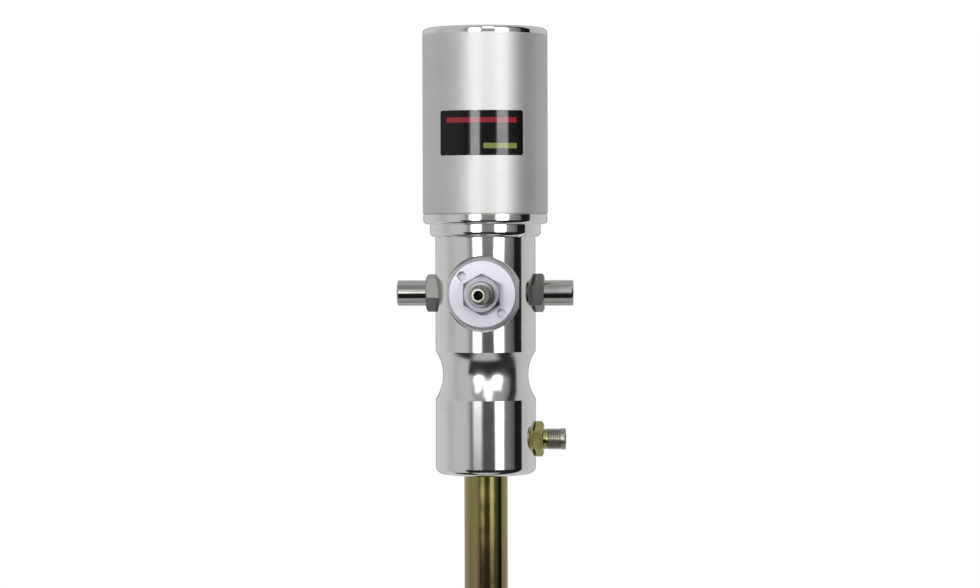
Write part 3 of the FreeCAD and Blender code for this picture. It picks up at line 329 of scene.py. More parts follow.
# %% Tent behind
TENT = (
    (-180, 0.52), (-158, 0.62), (-124, 0.6), (-110, 0.59), (-100, 0.53), (-89, 0.46), (-80, 0.48),
    (-71, 0.53), (-48, 0.53), (90, 0.5), (105, 0.52), (116, 0.56), (158, 0.6), (180, 0.52),
)
REAR_GLOW = 0.2
REAR_GLOW_TURNS = (166, 200, 1)
REAR_SHADE = 0.4
REAR_SHADE_TURNS = (159, 166, 1)
REAR_HEIGHTS = (-35, 50, 4)
LEFT_TABLE = {"turns": (-110, -48, 4), "top": (-49, -43)}


def tent_light(turn, height):
    """The pale tent round the back and left, with the table's far end below it."""
    behind = abs(turn)
    rear = REAR_GLOW * behind.band(*REAR_GLOW_TURNS) - REAR_SHADE * behind.band(*REAR_SHADE_TURNS)
    tent = turn.profile(*TENT) + rear * height.band(*REAR_HEIGHTS)
    table = reaches_up(turn, height, **LEFT_TABLE)
    return tent * (1 - table) + TABLE_LIGHT * table


print("tent:", len(TENT), "stops round the pump")

# %% [markdown]
# ## The studio as a world
# The world gets both halves of the studio, joined where the tent begins. What metal mirrors and
# what the camera sees behind the pump can differ, because the world can ask which kind of ray
# reaches it: the camera, straight or through clear material, sees plain white.

# %% World
FRONT = {"turns": (-48, 91.2, 1), "top": (66, 74)}
TO_DEGREES = 180 / math.pi


def studio(tree):
    """Brightness of the surroundings in each direction, turned to the camera's side."""
    way = tree.add("ShaderNodeTexCoord", output="Generated")
    facing = {"Vector": way, "Angle": -CAMERA_TURN}
    turned = tree.add("ShaderNodeVectorRotate", {"rotation_type": "Z_AXIS"}, facing)
    x, y, z = tree.axes(turned)
    turn = x.maths("ARCTAN2", x, 0 - y) * TO_DEGREES
    height = z.maths("ARCSINE", z) * TO_DEGREES
    front = reaches_up(turn, height, **FRONT)
    return tent_light(turn, height) * (1 - front) + front_light(turn, height) * front


world = bpy.data.worlds.new("studio")
world.use_nodes = True
bpy.context.scene.world = world
tree = Tree(world.node_tree)
sees = tree.outputs("ShaderNodeLightPath")
plain = sees["Is Camera Ray"].most(sees["Is Transmission Ray"])
surroundings = tree.add("ShaderNodeBackground", sockets={"Color": studio(tree), "Strength": 1.0})
white = tree.add("ShaderNodeBackground", sockets={"Color": WHITE, "Strength": 1.0})
shown = tree.add("ShaderNodeMixShader", sockets={0: plain, 1: surroundings, 2: white})
tree.add("ShaderNodeOutputWorld", sockets={0: shown})
bpy.context.scene.view_settings.view_transform = "Standard"
print("studio:", len(tree.nodes), "nodes")

# %% [markdown]
# ## The floor
# The pump stands on the tip of its stem. In the picture the floor lies far below the frame; it
# shows only in the other views, as a pale disc that takes the shadow and fades into the white.
# Metal doesn't show it: the studio's own dark table stands for it there, as in the photograph.
# Seen from below, the floor is clear, so that it hides nothing of the stem.

# %% Floor
FLOOR_RADIUS = 1.2
FLOOR_SIDES = 96
FLOOR_FADE = (0.05, 0.9)
FLOOR_COLOUR = colour(0.9, 0.9, 0.9)


def floor_disc():
    shape = bmesh.new()
    bmesh.ops.create_circle(shape, cap_ends=True, radius=FLOOR_RADIUS, segments=FLOOR_SIDES)
    mesh = bpy.data.meshes.new("floor")
    shape.to_mesh(mesh)
    shape.free()
    mesh.transform(Matrix.Translation((0, 0, cad_low[2])))
    return mesh


def floor_paint():
    """Matt and pale on top, white to the camera further out, clear from below."""
    paint = bpy.data.materials.new("floor_paint")
    paint.use_nodes = True
    tree = Tree(paint.node_tree)
    x, y, z = tree.axes(tree.add("ShaderNodeTexCoord", output="Object"))
    sees = tree.outputs("ShaderNodeLightPath")
    fade = x.beside(y).rise(*FLOOR_FADE) * sees["Is Camera Ray"]
    matt = tree.add("ShaderNodeBsdfDiffuse", sockets={"Color": FLOOR_COLOUR})
    white = tree.add("ShaderNodeEmission", sockets={"Color": WHITE, "Strength": 1.0})
    top = tree.add("ShaderNodeMixShader", sockets={0: fade, 1: matt, 2: white})
    clear = tree.add("ShaderNodeBsdfTransparent")
    underside = tree.outputs("ShaderNodeNewGeometry")["Backfacing"]
    sided = tree.add("ShaderNodeMixShader", sockets={0: underside, 1: top, 2: clear})
    tree.add("ShaderNodeOutputMaterial", sockets={0: sided})
    return paint


floor = bpy.data.objects.new("floor", floor_disc())
bpy.context.scene.collection.objects.link(floor)
floor.visible_glossy = False
floor.data.materials.append(floor_paint())
print("floor at z =", round(cad_low[2] / MM, 1), "mm")

# %% [markdown]
# ## What a finish is made of
# Three things tell one metal finish from another: its colour, how sharply it mirrors, and the marks
# its making left. Turned pieces carry fine rings round their axis, plated ones a cloudy tint, cast
# or sintered ones grains. Each finish below mixes such marks, in millimetres on the piece, into
# colour, roughness and a very small bump.

# %% Helpers for finishes
NOISE_SPAN = (0.3, 0.7)


def surface_tree(name):
    material = bpy.data.materials.new(name)
    material.use_nodes = True
    return material, Tree(material.node_tree)


def place_mm(tree):
    """Place on the piece in millimetres."""
    at = tree.add("ShaderNodeTexCoord", output="Object")
    return [number * 1000 for number in tree.axes(at)]


def noise(tree, x, y, z, detail=2.0, rough=0.5):
    """Cloudy value round 0.5 with one swell for each unit of its coordinates."""
    sockets = {"Vector": tree.vector(x, y, z), "Scale": 1.0, "Detail": detail, "Roughness": rough}
    return tree.add("ShaderNodeTexNoise", None, sockets)


def shaded(tree, bump=None, bump_mm=0.001, **sockets):
    """Principled surface; underscores in a socket's name stand for spaces."""
    named = {name.replace("_", " "): value for name, value in sockets.items()}
    if bump is not None:
        bumped = {"Height": bump, "Strength": 1.0, "Distance": bump_mm * MM}
        named["Normal"] = tree.add("ShaderNodeBump", None, bumped)
    surface = tree.add("ShaderNodeBsdfPrincipled", sockets=named)
    tree.add("ShaderNodeOutputMaterial", sockets={0: surface})


def cloud(tree, place, size):
    """Soft patches of that size in millimetres, from 0 to 1: the span that noise seldom leaves."""
    x, y, z = place
    return noise(tree, x / size, y / size, z / size).rise(*NOISE_SPAN)


def tool_rings(tree, along, out, width=0.35):
    """Marks of a turning tool: the same all round the axis, new at each step along or across."""
    return noise(tree, along / width, out / width, 0.0, detail=3.0, rough=0.7)


print("finish helpers ready")

# %% [markdown]
# ## Turned and polished metal
# The body, the cylinder's head and the caps were turned on a lathe and then polished. One recipe
# serves them all: it needs the axis the piece was turned about. Where a piece also has a milled
# hexagon, the hexagon stays duller and darker than the polished barrel, because nobody polishes
# spanner flats. On the caps the hexagon is also painted far darker, a painted reflection of the
# dark table below.

# %% Recipe for turned metal
AXIS_HEIGHT_MM = 112.0
TURNED_CLOUD_MM = 14
CLOUD_DARKENS = 0.95
# Painted shade: the black that stands for the dark inside of deep bores.
PAINTED_BORE_SHADE = colour(0.02, 0.018, 0.015)
BORE_SHADE_DULL = 0.5
BORE_RIM_MM = 0.05


def turned_place(tree, axis, height):
    """Distance along the turning axis and out from it; side and front axes lie at that height."""
    x, y, z = place = place_mm(tree)
    if axis == "upright":
        return place, z, x.beside(y)
    if axis == "side":
        return place, abs(x), y.beside(z - height)
    return place, abs(y), x.beside(z - height)


def turned_metal(name, base, dull, axis="upright", rings=0.0015, zones=(), masks=(), bore=None):
    """Lathe finish: base colours the metal, dull is its (least, most) roughness and rings the depth
    of its marks in mm. A zone is a span along the axis, (start, end, softness, colour, roughness),
    and a mask gives such a place as a function. Inside the radius bore the metal is painted black
    and dull, as painted shade for the dark inside of the hole."""
    material, tree = surface_tree(name)
    place, along, out = turned_place(tree, axis, AXIS_HEIGHT_MM)
    marks = tool_rings(tree, along, out)
    patches = cloud(tree, place, TURNED_CLOUD_MM)
    darker = colour(*(part * CLOUD_DARKENS for part in base))
    paint = tree.mix(patches, darker, colour(*base))
    worn = 0.55 * marks.rise(*NOISE_SPAN) + 0.45 * patches
    rough = dull[0] + (dull[1] - dull[0]) * worn
    spans = [(along.band(*zone[:3]), *zone[3:]) for zone in zones]
    spans += [(mask(place), *look) for mask, *look in masks]
    for inside, other, other_dull in spans:
        paint = tree.mix(inside * (0.85 + 0.15 * marks), paint, colour(*other))
        rough = rough * (1 - inside) + (other_dull + 0.08 * patches) * inside
    if bore:
        # Painted shade: inside the bore the metal is painted black and made dull.
        bore_shade = 1 - out.rise(bore, bore + BORE_RIM_MM)
        paint = tree.mix(bore_shade, paint, PAINTED_BORE_SHADE)
        rough = rough * (1 - bore_shade) + BORE_SHADE_DULL * bore_shade
    shaded(tree, marks, rings, Base_Color=paint, Roughness=rough, Metallic=1.0)
    return material


print("recipe for turned metal ready")

# %% Turned finishes
SEAT_RADII = (20, 23.5, 0.1)
SEAT_DEPTHS = (-22.3, -21.9, 0.05)
HEAD_TOP_MM = cad_high[2] / MM - 0.3
ALUMINIUM = (0.9, 0.905, 0.885)
POLISHED = (0.06, 0.11)
WAIST = (46.8, 75.8, 0.4, (0.84, 0.845, 0.825), 0.15)
HEAD_TOP = (HEAD_TOP_MM, 400, 0.1, (0.44, 0.44, 0.43), 0.5)
# The caps' hexagons: duller milled flats, painted far darker as a painted reflection of the dark
# table.
CAP_HEXAGON_DULL_PAINTED_DARK = (20, 36.65, 0.15, (0.29, 0.29, 0.28), 0.3)
NIPPLE_HEXAGON = (20, 47.1, 0.1, (0.3, 0.3, 0.34), 0.26)
NIPPLE_TIP = (71.2, 75, 0.1, (0.75, 0.73, 0.62), 0.14)
BRASS_HEXAGON = (20, 32.6, 0.15, (0.66, 0.5, 0.24), 0.22)
NIPPLE_BORE_MM = 2.95


def seat_ring_and_painted_shadow(place):
    """The milled ring on the body round the front cover; its dark grey is partly its milled face
    and partly a painted shadow round the cover.
    """
    x, y, z = place
    return x.beside(z - AXIS_HEIGHT_MM).band(*SEAT_RADII) * y.band(*SEAT_DEPTHS)


polished = turned_metal("polished_aluminium", ALUMINIUM, POLISHED)
# The seat ring's dark grey is partly painted shadow round the front cover.
body_finish = turned_metal(
    "body_aluminium", ALUMINIUM, POLISHED,
    zones=[WAIST], masks=[(seat_ring_and_painted_shadow, (0.4, 0.41, 0.4), 0.42)],
)
head_finish = turned_metal("head_aluminium", ALUMINIUM, POLISHED, rings=0.003, zones=[HEAD_TOP])
cover_face = turned_metal(
    "faced_aluminium", (0.72, 0.725, 0.78), (0.5, 0.55), axis="front", rings=0.003,
)
cap_plating = turned_metal(
    "nickel_plated_steel", (0.54, 0.53, 0.515), (0.07, 0.13), axis="side", zones=[CAP_HEXAGON_DULL_PAINTED_DARK],
)
nipple_plating = turned_metal(
    "nipple_plating", (0.33, 0.31, 0.26), (0.16, 0.24), axis="front",
    zones=[NIPPLE_HEXAGON, NIPPLE_TIP], bore=NIPPLE_BORE_MM,
)
brass = turned_metal(
    "brass", (0.72, 0.56, 0.27), (0.12, 0.22), axis="front", zones=[BRASS_HEXAGON],
)
print("turned finishes ready, the head's top starts at", round(HEAD_TOP_MM, 1), "mm")

# %% [markdown]
# ## The satin sleeve
# The air cylinder's sleeve was ground while it turned, which leaves fine rings that spread its
# light up and down. A noise that is stretched far round the sleeve and changes quickly along it
# gives them, in the roughness and in a bump of a hundredth of a millimetre.

# %% Satin sleeve
SLEEVE_R = 38.75
RING_LENGTH_MM = 14
RING_STEP_MM = 0.22
RING_DEPTH_MM = 0.012


def satin_sleeve():
    material, tree = surface_tree("satin_aluminium")
    x, y, z = place = place_mm(tree)
    around = x.maths("ARCTAN2", x, y) * SLEEVE_R
    grain = noise(tree, around / RING_LENGTH_MM, z / RING_STEP_MM, 0.0, detail=2.0, rough=0.6)
    patches = cloud(tree, place, size=20)
    paint = tree.mix(patches, colour(0.71, 0.705, 0.695), colour(0.74, 0.735, 0.725))
    rough = 0.49 + 0.06 * grain
    shaded(tree, grain, RING_DEPTH_MM, Base_Color=paint, Roughness=rough, Metallic=1.0)
    return material


satin = satin_sleeve()
print("satin sleeve ready, rings", RING_STEP_MM, "mm apart")

# %% [markdown]
# ## Yellow zinc plating
# The stem and the outlet are plated with zinc and passivated yellow: a clear, slightly iridescent
# film over grey metal. It takes a cloudy mix of olive and straw under a thin coat, with brown
# swirls drawn out along the tube, and further down the stem it is browner and smoother.

# %% Yellow zinc
OUTLET_HEIGHT_MM = 21.5
STEM_BROWN_FROM_TO = (-62, -12)
SWIRL = (1.6, 1.6, 0.35)
BARE_THREAD = colour(0.4, 0.385, 0.33)
BARE_FADE_MM = 1.5
BORE_SHADE_FROM_TO = (45, 46)


def yellow_zinc(name, olive, straw, brown, bare_from=None, bore=None):
    """bare_from is the distance along the outlet at which its thread starts, where the film is thin
    and grey. bore is the radius of the hole in its end, which is painted black over its last few
    millimetres, as painted shade for the dark inside of the hole."""
    material, tree = surface_tree(name)
    x, y, z = place = place_mm(tree)
    patches = cloud(tree, place, size=9)
    swirl = cloud(tree, [number * stretch for number, stretch in zip(place, SWIRL)], size=7)
    deep = 1 - z.rise(*STEM_BROWN_FROM_TO)
    paint = tree.mix(patches, colour(*olive), colour(*straw))
    paint = tree.mix((0.5 * swirl).most(0.8 * deep), paint, colour(*brown))
    grains = noise(tree, x / 0.25, y / 0.25, z / 0.25, detail=2.0)
    rough = 0.11 + 0.06 * patches + 0.05 * grains - 0.05 * deep
    if bare_from:
        bare = x.rise(bare_from, bare_from + BARE_FADE_MM)
        paint = tree.mix(bare, paint, BARE_THREAD)
        rough = rough + 0.2 * bare
    if bore:
        # Painted shade: the bore near the outlet's end is painted black.
        bore_shade = 1 - y.beside(z - OUTLET_HEIGHT_MM).rise(bore, bore + BORE_RIM_MM)
        paint = tree.mix(bore_shade * x.rise(*BORE_SHADE_FROM_TO), paint, PAINTED_BORE_SHADE)
    film = {"Coat_Weight": 0.3, "Coat_Roughness": 0.08}
    shaded(tree, grains, 0.004, Base_Color=paint, Roughness=rough, Metallic=1.0, **film)
    return material


tube_plating = yellow_zinc(
    "yellow_zinc_steel", (0.33, 0.325, 0.085), (0.36, 0.32, 0.11), (0.32, 0.235, 0.12),
)
outlet_plating = yellow_zinc(
    "outlet_plating", (0.4, 0.42, 0.12), (0.44, 0.42, 0.15), (0.42, 0.38, 0.17),
    bare_from=37.5, bore=3.6,
)
print("yellow zinc ready")

# %% [markdown]
# ## The pieces that hardly show
# Screws, seals, springs and the works inside get one recipe with a row of numbers each. A row gives
# the darker and the lighter colour, the (least, most) roughness, how metallic it is, and the size
# and depth of its grain in millimetres.

# %% Finishes from a table
PLAIN_FINISHES = {
    "hard_anodised_aluminium":
        ((0.1, 0.1, 0.095), (0.13, 0.13, 0.12), (0.35, 0.5), 0.6, 0.3, 0.002),
    "zinc_plated_steel": ((0.56, 0.58, 0.6), (0.66, 0.67, 0.69), (0.22, 0.36), 1.0, 0.8, 0.003),
    "chromed_rod": ((0.66, 0.68, 0.7), (0.7, 0.72, 0.74), (0.05, 0.09), 1.0, 0.4, 0.0005),
    "hardened_steel": ((0.3, 0.29, 0.28), (0.4, 0.39, 0.37), (0.18, 0.3), 1.0, 0.5, 0.002),
    "spring_steel": ((0.26, 0.25, 0.25), (0.34, 0.33, 0.32), (0.25, 0.38), 1.0, 0.4, 0.002),
    "bronze": ((0.5, 0.33, 0.17), (0.6, 0.42, 0.22), (0.22, 0.34), 1.0, 0.5, 0.003),
    "sintered_bronze": ((0.34, 0.22, 0.1), (0.56, 0.4, 0.2), (0.4, 0.6), 1.0, 0.3, 0.08),
    "copper": ((0.7, 0.38, 0.26), (0.82, 0.47, 0.34), (0.2, 0.35), 1.0, 0.6, 0.003),
    "nitrile_rubber": ((0.012, 0.012, 0.012), (0.025, 0.025, 0.024), (0.4, 0.6), 0.0, 0.15, 0.005),
    "polyurethane": ((0.3, 0.2, 0.06), (0.42, 0.3, 0.1), (0.3, 0.42), 0.0, 0.3, 0.003),
    "acetal": ((0.68, 0.67, 0.63), (0.76, 0.75, 0.71), (0.3, 0.42), 0.0, 0.4, 0.003),
}


def plain_finish(name, dark, light, dull, metallic, grain, bump):
    material, tree = surface_tree(name)
    x, y, z = place = place_mm(tree)
    grains = noise(tree, x / grain, y / grain, z / grain, detail=3.0, rough=0.6)
    patches = cloud(tree, place, size=8)
    paint = tree.mix(0.5 * grains + 0.5 * patches, colour(*dark), colour(*light))
    rough = dull[0] + (dull[1] - dull[0]) * patches
    shaded(tree, grains, bump, Base_Color=paint, Roughness=rough, Metallic=metallic)
    return material


FINISHES = {slot: plain_finish(slot, *recipe) for slot, recipe in PLAIN_FINISHES.items()}
print(len(FINISHES), "plain finishes")

# %% [markdown]
# ## Dressing the construction pieces
# Every construction piece comes with a slot that names its material. Most take the finish of that
# slot; the four that face the camera have one of their own, with the marks of their own shape.

# %% Dress the construction pieces
FINISHES.update(
    polished_aluminium=polished,
    satin_aluminium=satin,
    nickel_plated_steel=cap_plating,
    yellow_zinc_steel=tube_plating,
    brass=brass,
)
OWN_FINISH = {
    "motor_body": body_finish,
    "cylinder_head": head_finish,
    "inlet_cover": cover_face,
    "air_nipple": nipple_plating,
}
for name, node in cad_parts.items():
    for place in node.material_slots:
        place.material = OWN_FINISH.get(name) or FINISHES[place.material.name]
print("dressed", len(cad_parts), "pieces,", len(OWN_FINISH), "with a finish of their own")

# %% [markdown]
# ## Adding pieces
# A piece made here has to move with the pump, so it rides on the body that carries it, and its
# material slot says what it is made of. The edges of turned and milled pieces are crisp while their
# round faces are smooth, so shading changes only where faces meet at more than a set angle.

# %% Helpers for added pieces
def smoothed(mesh, angle=35):
    """Smooth shading with sharp edges where faces meet at more than that angle."""
    if "custom_normal" in mesh.attributes:
        mesh.attributes.remove(mesh.attributes["custom_normal"])
    mesh.shade_smooth()
    mesh.set_sharp_from_angle(angle=math.radians(angle))
    return mesh


def add_piece(name, mesh, material):
    """A piece that rides on the root body."""
    piece = bpy.data.objects.new(name, mesh)
    bpy.context.scene.collection.objects.link(piece)
    mesh.materials.clear()
    mesh.materials.append(material)
    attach(piece, "root")
    return piece


print("piece helpers ready")

# %% [markdown]
# ## The label
# A black printed film wraps a good fifth of the sleeve. It is far thinner than it is wide, so it
# could be a texture on the sleeve, but a film has an edge that catches the light and a gloss of its
# own. It is built as a curved sheet with rounded corners, and its print is two plain bars under a
# clear coat.

# %% Label film
FILM_T = 0.15
LABEL_TURNS = (-40.9, 39.8)
LABEL_HEIGHTS = (196.4, 223.7)
LABEL_CORNER = 1.5
LABEL_COLUMNS = 72
CORNER_STEPS = 6


def corner_inset(distance):
    """How far the film's end stays back at that distance from its side edge."""
    if distance >= LABEL_CORNER:
        return 0.0
    return LABEL_CORNER - math.sqrt(LABEL_CORNER ** 2 - (LABEL_CORNER - distance) ** 2)


def column_shares():
    """Places of the film's columns across its width, closer together over the rounded corners."""
    width = math.radians(LABEL_TURNS[1] - LABEL_TURNS[0]) * SLEEVE_R
    quarter = math.pi / 2
    corner = [
        LABEL_CORNER * (1 - math.cos(quarter * step / CORNER_STEPS)) / width
        for step in range(CORNER_STEPS)
    ]
    start = LABEL_CORNER / width
    columns = range(LABEL_COLUMNS + 1)
    middle = [start + (1 - 2 * start) * step / LABEL_COLUMNS for step in columns]
    return corner + middle + [1 - share for share in reversed(corner)], width


def film_corners(shape, share, width):
    """The film's four corners in the cut at that share of its width."""
    turn = math.radians(LABEL_TURNS[0] + (LABEL_TURNS[1] - LABEL_TURNS[0]) * share)
    inset = corner_inset(min(share, 1 - share) * width)
    low, high = LABEL_HEIGHTS[0] + inset, LABEL_HEIGHTS[1] - inset
    outside = SLEEVE_R + FILM_T
    cut = ((SLEEVE_R, low), (outside, low), (outside, high), (SLEEVE_R, high))
    return [
        shape.verts.new(Vector((radius * math.sin(turn), -radius * math.cos(turn), z)) * MM)
        for radius, z in cut
    ]


def label_film():
    shares, width = column_shares()
    shape = bmesh.new()
    columns = [film_corners(shape, share, width) for share in shares]
    for left, right in zip(columns, columns[1:]):
        for side in range(4):
            after = (side + 1) % 4
            shape.faces.new((left[side], right[side], right[after], left[after]))
    shape.faces.new(columns[0])
    shape.faces.new(columns[-1])
    bmesh.ops.recalc_face_normals(shape, faces=shape.faces)
    mesh = bpy.data.meshes.new("label_film")
    shape.to_mesh(mesh)
    shape.free()
    return mesh


print("label film:", round(column_shares()[1], 1), "mm wide when flat")

# %% Label print
RED_BAR = {"turns": (-34, 33), "heights": (216.2, 219.4)}
GREEN_BAR = {"turns": (2, 33), "heights": (200.6, 203.8)}
EDGE_DEGREES = 0.12
MM_PER_DEGREE = 0.7


def bar(turn, z, turns, heights):
    """1 inside a printed bar; places are degrees round the sleeve and millimetres up."""
    return turn.band(*turns, EDGE_DEGREES) * z.band(*heights, EDGE_DEGREES * MM_PER_DEGREE)


def label_print():
    """Black film with a red and a yellow-green bar."""
    material, tree = surface_tree("label_print")
    x, y, z = place = place_mm(tree)
    turn = x.maths("ARCTAN2", x, 0 - y) * TO_DEGREES
    specks = noise(tree, x / 0.4, y / 0.4, z / 0.4, detail=3.0)
    paint = tree.mix(specks, colour(0.002, 0.002, 0.002), colour(0.004, 0.004, 0.004))
    paint = tree.mix(bar(turn, z, **RED_BAR), paint, colour(0.3, 0.02, 0.035))
    paint = tree.mix(bar(turn, z, **GREEN_BAR), paint, colour(0.24, 0.28, 0.07))
    rough = 0.07 + 0.04 * cloud(tree, place, size=10)
    shaded(tree, specks, 0.0006, Base_Color=paint, Roughness=rough, IOR=1.4)
    return material


label = add_piece("label_film", smoothed(label_film()), label_print())
print("label film:", len(label.data.polygons), "faces")

# %% [markdown]
# ## The outlet's thread
# The grease hose screws onto a G 1/4 thread: 13.157 mm across its crests and 1.337 mm from turn to
# turn. The construction model has a plain stub there. A thread is one groove that follows a helix,
# a shape that a rule gives better than hand work. Geometry Nodes take a flat grid, read one side of
# it as the way along the stub and the other as the way round, and wrap it with a radius that rises
# and falls once for each pitch.

# %% Geometry Nodes helpers
def geometry_group(name, sizes):
    """Empty Geometry Nodes group with a geometry in and out and a named input for each size."""
    group = bpy.data.node_groups.new(name, "GeometryNodeTree")
    for way in ("INPUT", "OUTPUT"):
        group.interface.new_socket("Geometry", in_out=way, socket_type="NodeSocketGeometry")
    for size in sizes:
        group.interface.new_socket(size, in_out="INPUT", socket_type="NodeSocketFloat")
    return group, Tree(group)


def close_group(tree, geometry, material):
    """End of a group: instances made real, and the material set."""
    realized = tree.add("GeometryNodeRealizeInstances", sockets={0: geometry})
    painted = {"Geometry": realized, "Material": material}
    tree.add("NodeGroupOutput", sockets={0: tree.add("GeometryNodeSetMaterial", sockets=painted)})


def grown_mesh(group, sizes, start=None):
    """Plain mesh that the group makes from a start mesh and its named sizes."""
    holder = bpy.data.objects.new(group.name, start or bpy.data.meshes.new(group.name))
    bpy.context.scene.collection.objects.link(holder)
    modifier = holder.modifiers.new(group.name, "NODES")
    modifier.node_group = group
    for item in group.interface.items_tree:
        if item.in_out == "INPUT" and item.name in sizes:
            modifier[item.identifier] = sizes[item.name]
    bpy.context.view_layer.update()
    seen = holder.evaluated_get(bpy.context.evaluated_depsgraph_get())
    mesh = bpy.data.meshes.new_from_object(seen)
    holder.modifiers.clear()
    bpy.data.objects.remove(holder)
    return mesh


print("Geometry Nodes helpers ready")

# %% Thread by rule
THREAD = {
    "Start": 36.1, "Length": 13.0, "Pitch": 1.337, "Crest": 6.58, "Root": 5.85,
    "Neck": 6.3, "Tip": 6.58, "First turn": 38.4, "Last turn": 46.9,
}
THREAD_STEPS = 156
THREAD_SIDES = 72
FLANK = (0.05, 0.7)
RUN_OUT_MM = (-0.5, 0.5)
NECK_END_MM = (5.5, 6.5)
WELD_MM = 0.01


def thread_radius(size, along, share_round):
    """Radius of the stub at each place: plain at both ends, a ridge once for each pitch between."""
    start = size["Start"]
    phase = (along - start) / size["Pitch"] - share_round
    ridge = (1 - abs(2 * phase.maths("FRACT", phase) - 1)).rise(*FLANK)
    begun = (along - size["First turn"]).rise(*RUN_OUT_MM)
    ended = (along - size["Last turn"]).rise(*RUN_OUT_MM)
    cut = begun * (1 - ended)
    plain = size["Neck"] + (size["Tip"] - size["Neck"]) * (along - start).rise(*NECK_END_MM)
    groove = size["Root"] + (size["Crest"] - size["Root"]) * ridge
    return plain * (1 - cut) + groove * cut


def thread_group():
    group, tree = geometry_group("outlet_thread", THREAD)
    size = tree.outputs("NodeGroupInput")
    grid = {"Size X": 1.0, "Size Y": 1.0}
    grid.update({"Vertices X": THREAD_STEPS + 1, "Vertices Y": THREAD_SIDES + 1})
    across, over, _ = tree.axes(tree.add("GeometryNodeInputPosition"))
    along = size["Start"] + (across + 0.5) * size["Length"]
    turn = (over + 0.5) * (2 * math.pi)
    radius = thread_radius(size, along, over + 0.5)
    side = radius * turn.maths("COSINE", turn)
    up = radius * turn.maths("SINE", turn) + OUTLET_HEIGHT_MM
    wrapped = {
        "Geometry": tree.add("GeometryNodeMeshGrid", sockets=grid),
        "Position": tree.vector(along * MM, side * MM, up * MM),
    }
    skin = {
        "Geometry": tree.add("GeometryNodeSetPosition", sockets=wrapped),
        "Distance": WELD_MM * MM,
    }
    closed = tree.add("GeometryNodeMergeByDistance", sockets=skin)
    close_group(tree, closed, outlet_plating)
    return group


thread_mesh = grown_mesh(thread_group(), THREAD)
print("thread:", len(thread_mesh.polygons), "faces")

# %% [markdown]
# ## Joining the thread to the outlet
# The threaded skin is open at both ends. The construction piece gives the hexagon and the thread
# inside the body: a copy of it is cut off where the stub starts. The skin's last ring is then drawn
# in step by step over the chamfer, the end face, the hose's cone seat and the bore, and both parts
# are bridged into one closed shape.

# %% Rings of the stub
STUB_RINGS = ((49.7, 5.98), (49.7, 4.7), (47.62, 3.5), (36.15, 3.5))
SAME_PLACE_MM = 0.005


def out_of_axis(vert):
    return math.hypot(vert.co.y, vert.co.z - OUTLET_HEIGHT_MM * MM)


def rim_at(shape, along):
    """Open edges of the shape at that place along the outlet."""
    near = SAME_PLACE_MM * MM
    return [
        edge for edge in shape.edges
        if edge.is_boundary and all(abs(vert.co.x - along * MM) < near for vert in edge.verts)
    ]


def drawn_in(shape, ring, along, radius):
    """Extrude a ring of edges to that place and radius; the new ring comes back."""
    made = bmesh.ops.extrude_edge_only(shape, edges=ring)["geom"]
    verts = {item for item in made if isinstance(item, bmesh.types.BMVert)}
    for vert in verts:
        share = radius * MM / out_of_axis(vert)
        vert.co.y *= share
        vert.co.z = (vert.co.z - OUTLET_HEIGHT_MM * MM) * share + OUTLET_HEIGHT_MM * MM
        vert.co.x = along * MM
    edges = [item for item in made if isinstance(item, bmesh.types.BMEdge)]
    return [edge for edge in edges if set(edge.verts) <= verts]


def add_stub(shape):
    """The threaded skin with its end face and bore, added; its two open rings come back."""
    shape.from_mesh(thread_mesh)
    ring = rim_at(shape, THREAD["Start"] + THREAD["Length"])
    for along, radius in STUB_RINGS:
        ring = drawn_in(shape, ring, along, radius)
    return rim_at(shape, THREAD["Start"]), ring


print("stub:", len(STUB_RINGS), "rings past the thread")

# %% Outlet adaptor
CUT_AT = 36.11
BETWEEN_WALLS_MM = 5
DOUBLES_MM = 0.001


def in_order(items, place):
    """Number vertices or faces by their place, so that each run writes them in the same order."""
    rank = {item: number for number, item in enumerate(sorted(items, key=place))}
    items.sort(key=rank.get)


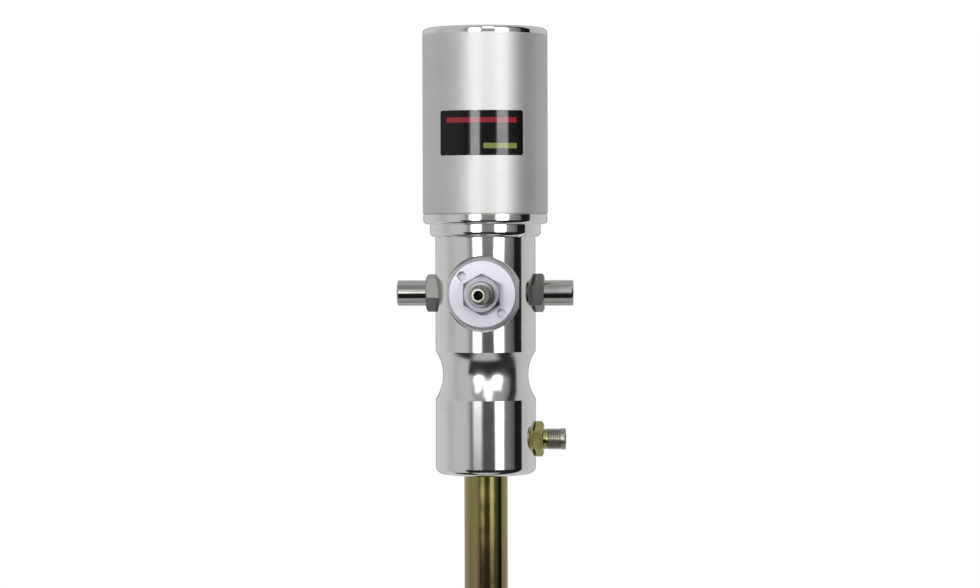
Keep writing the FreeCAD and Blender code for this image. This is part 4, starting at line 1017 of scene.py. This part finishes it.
def threaded_outlet():
    shape = bmesh.new()
    shape.from_mesh(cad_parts["outlet_adaptor"].data)
    bmesh.ops.remove_doubles(shape, verts=shape.verts, dist=DOUBLES_MM * MM)
    everything = shape.verts[:] + shape.edges[:] + shape.faces[:]
    plane = {"plane_co": (CUT_AT * MM, 0, 0), "plane_no": (1, 0, 0)}
    bmesh.ops.bisect_plane(shape, geom=everything, clear_outer=True, **plane)
    cut = rim_at(shape, CUT_AT)
    outer = [edge for edge in cut if out_of_axis(edge.verts[0]) > BETWEEN_WALLS_MM * MM]
    inner = [edge for edge in cut if out_of_axis(edge.verts[0]) < BETWEEN_WALLS_MM * MM]
    stub_outer, stub_inner = add_stub(shape)
    bmesh.ops.bridge_loops(shape, edges=outer + stub_outer)
    bmesh.ops.bridge_loops(shape, edges=inner + stub_inner)
    bmesh.ops.recalc_face_normals(shape, faces=shape.faces)
    print("outlet: open edges left", sum(edge.is_boundary for edge in shape.edges))
    in_order(shape.verts, lambda vert: tuple(vert.co))
    in_order(shape.faces, lambda face: tuple(face.calc_center_median()))
    mesh = bpy.data.meshes.new("threaded_outlet")
    shape.to_mesh(mesh)
    shape.free()
    return mesh


outlet_mesh = smoothed(threaded_outlet())
outlet = add_piece("threaded_outlet", outlet_mesh, outlet_plating)
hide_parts("outlet_adaptor")
print("outlet adaptor:", len(outlet.data.polygons), "faces")

# %% [markdown]
# ## The silencer's grains
# Air leaves at the back through a sintered bronze plug, a cap of small balls fused together. The
# construction piece is its smooth envelope. A few thousand points scattered on it, each with a
# small ball sunk half into the surface, give the grain that catches the light.

# %% Grains by rule
GRAINS = {"Per square metre": 6.5e6, "Least size": 0.17 * MM, "Most size": 0.3 * MM}
MOST_TURN = (6, 6, 6)
GRAIN_SMOOTH_ANGLE = 80


def grain_group():
    group, tree = geometry_group("sinter_grains", GRAINS)
    size = tree.outputs("NodeGroupInput")
    spread = {"Mesh": size["Geometry"], "Density": size["Per square metre"], "Seed": 7}
    points = tree.add("GeometryNodeDistributePointsOnFaces", sockets=spread)
    ball = tree.add("GeometryNodeMeshIcoSphere", sockets={"Radius": 1.0, "Subdivisions": 1})
    sizes = {2: size["Least size"], 3: size["Most size"], "Seed": 3}
    scale = tree.add("FunctionNodeRandomValue", sockets=sizes, output=1)
    turns = {0: (0, 0, 0), 1: MOST_TURN, "Seed": 5}
    turn = tree.add("FunctionNodeRandomValue", {"data_type": "FLOAT_VECTOR"}, turns)
    placed = {"Points": points, "Instance": ball, "Scale": scale, "Rotation": turn}
    balls = tree.add("GeometryNodeInstanceOnPoints", sockets=placed)
    close_group(tree, balls, FINISHES["sintered_bronze"])
    return group


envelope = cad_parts["silencer_element"].data.copy()
grain_mesh = smoothed(grown_mesh(grain_group(), GRAINS, envelope), GRAIN_SMOOTH_ANGLE)
grains = add_piece(
    "silencer_grains", grain_mesh, FINISHES["sintered_bronze"],
)
print("grains:", len(grains.data.polygons), "faces")
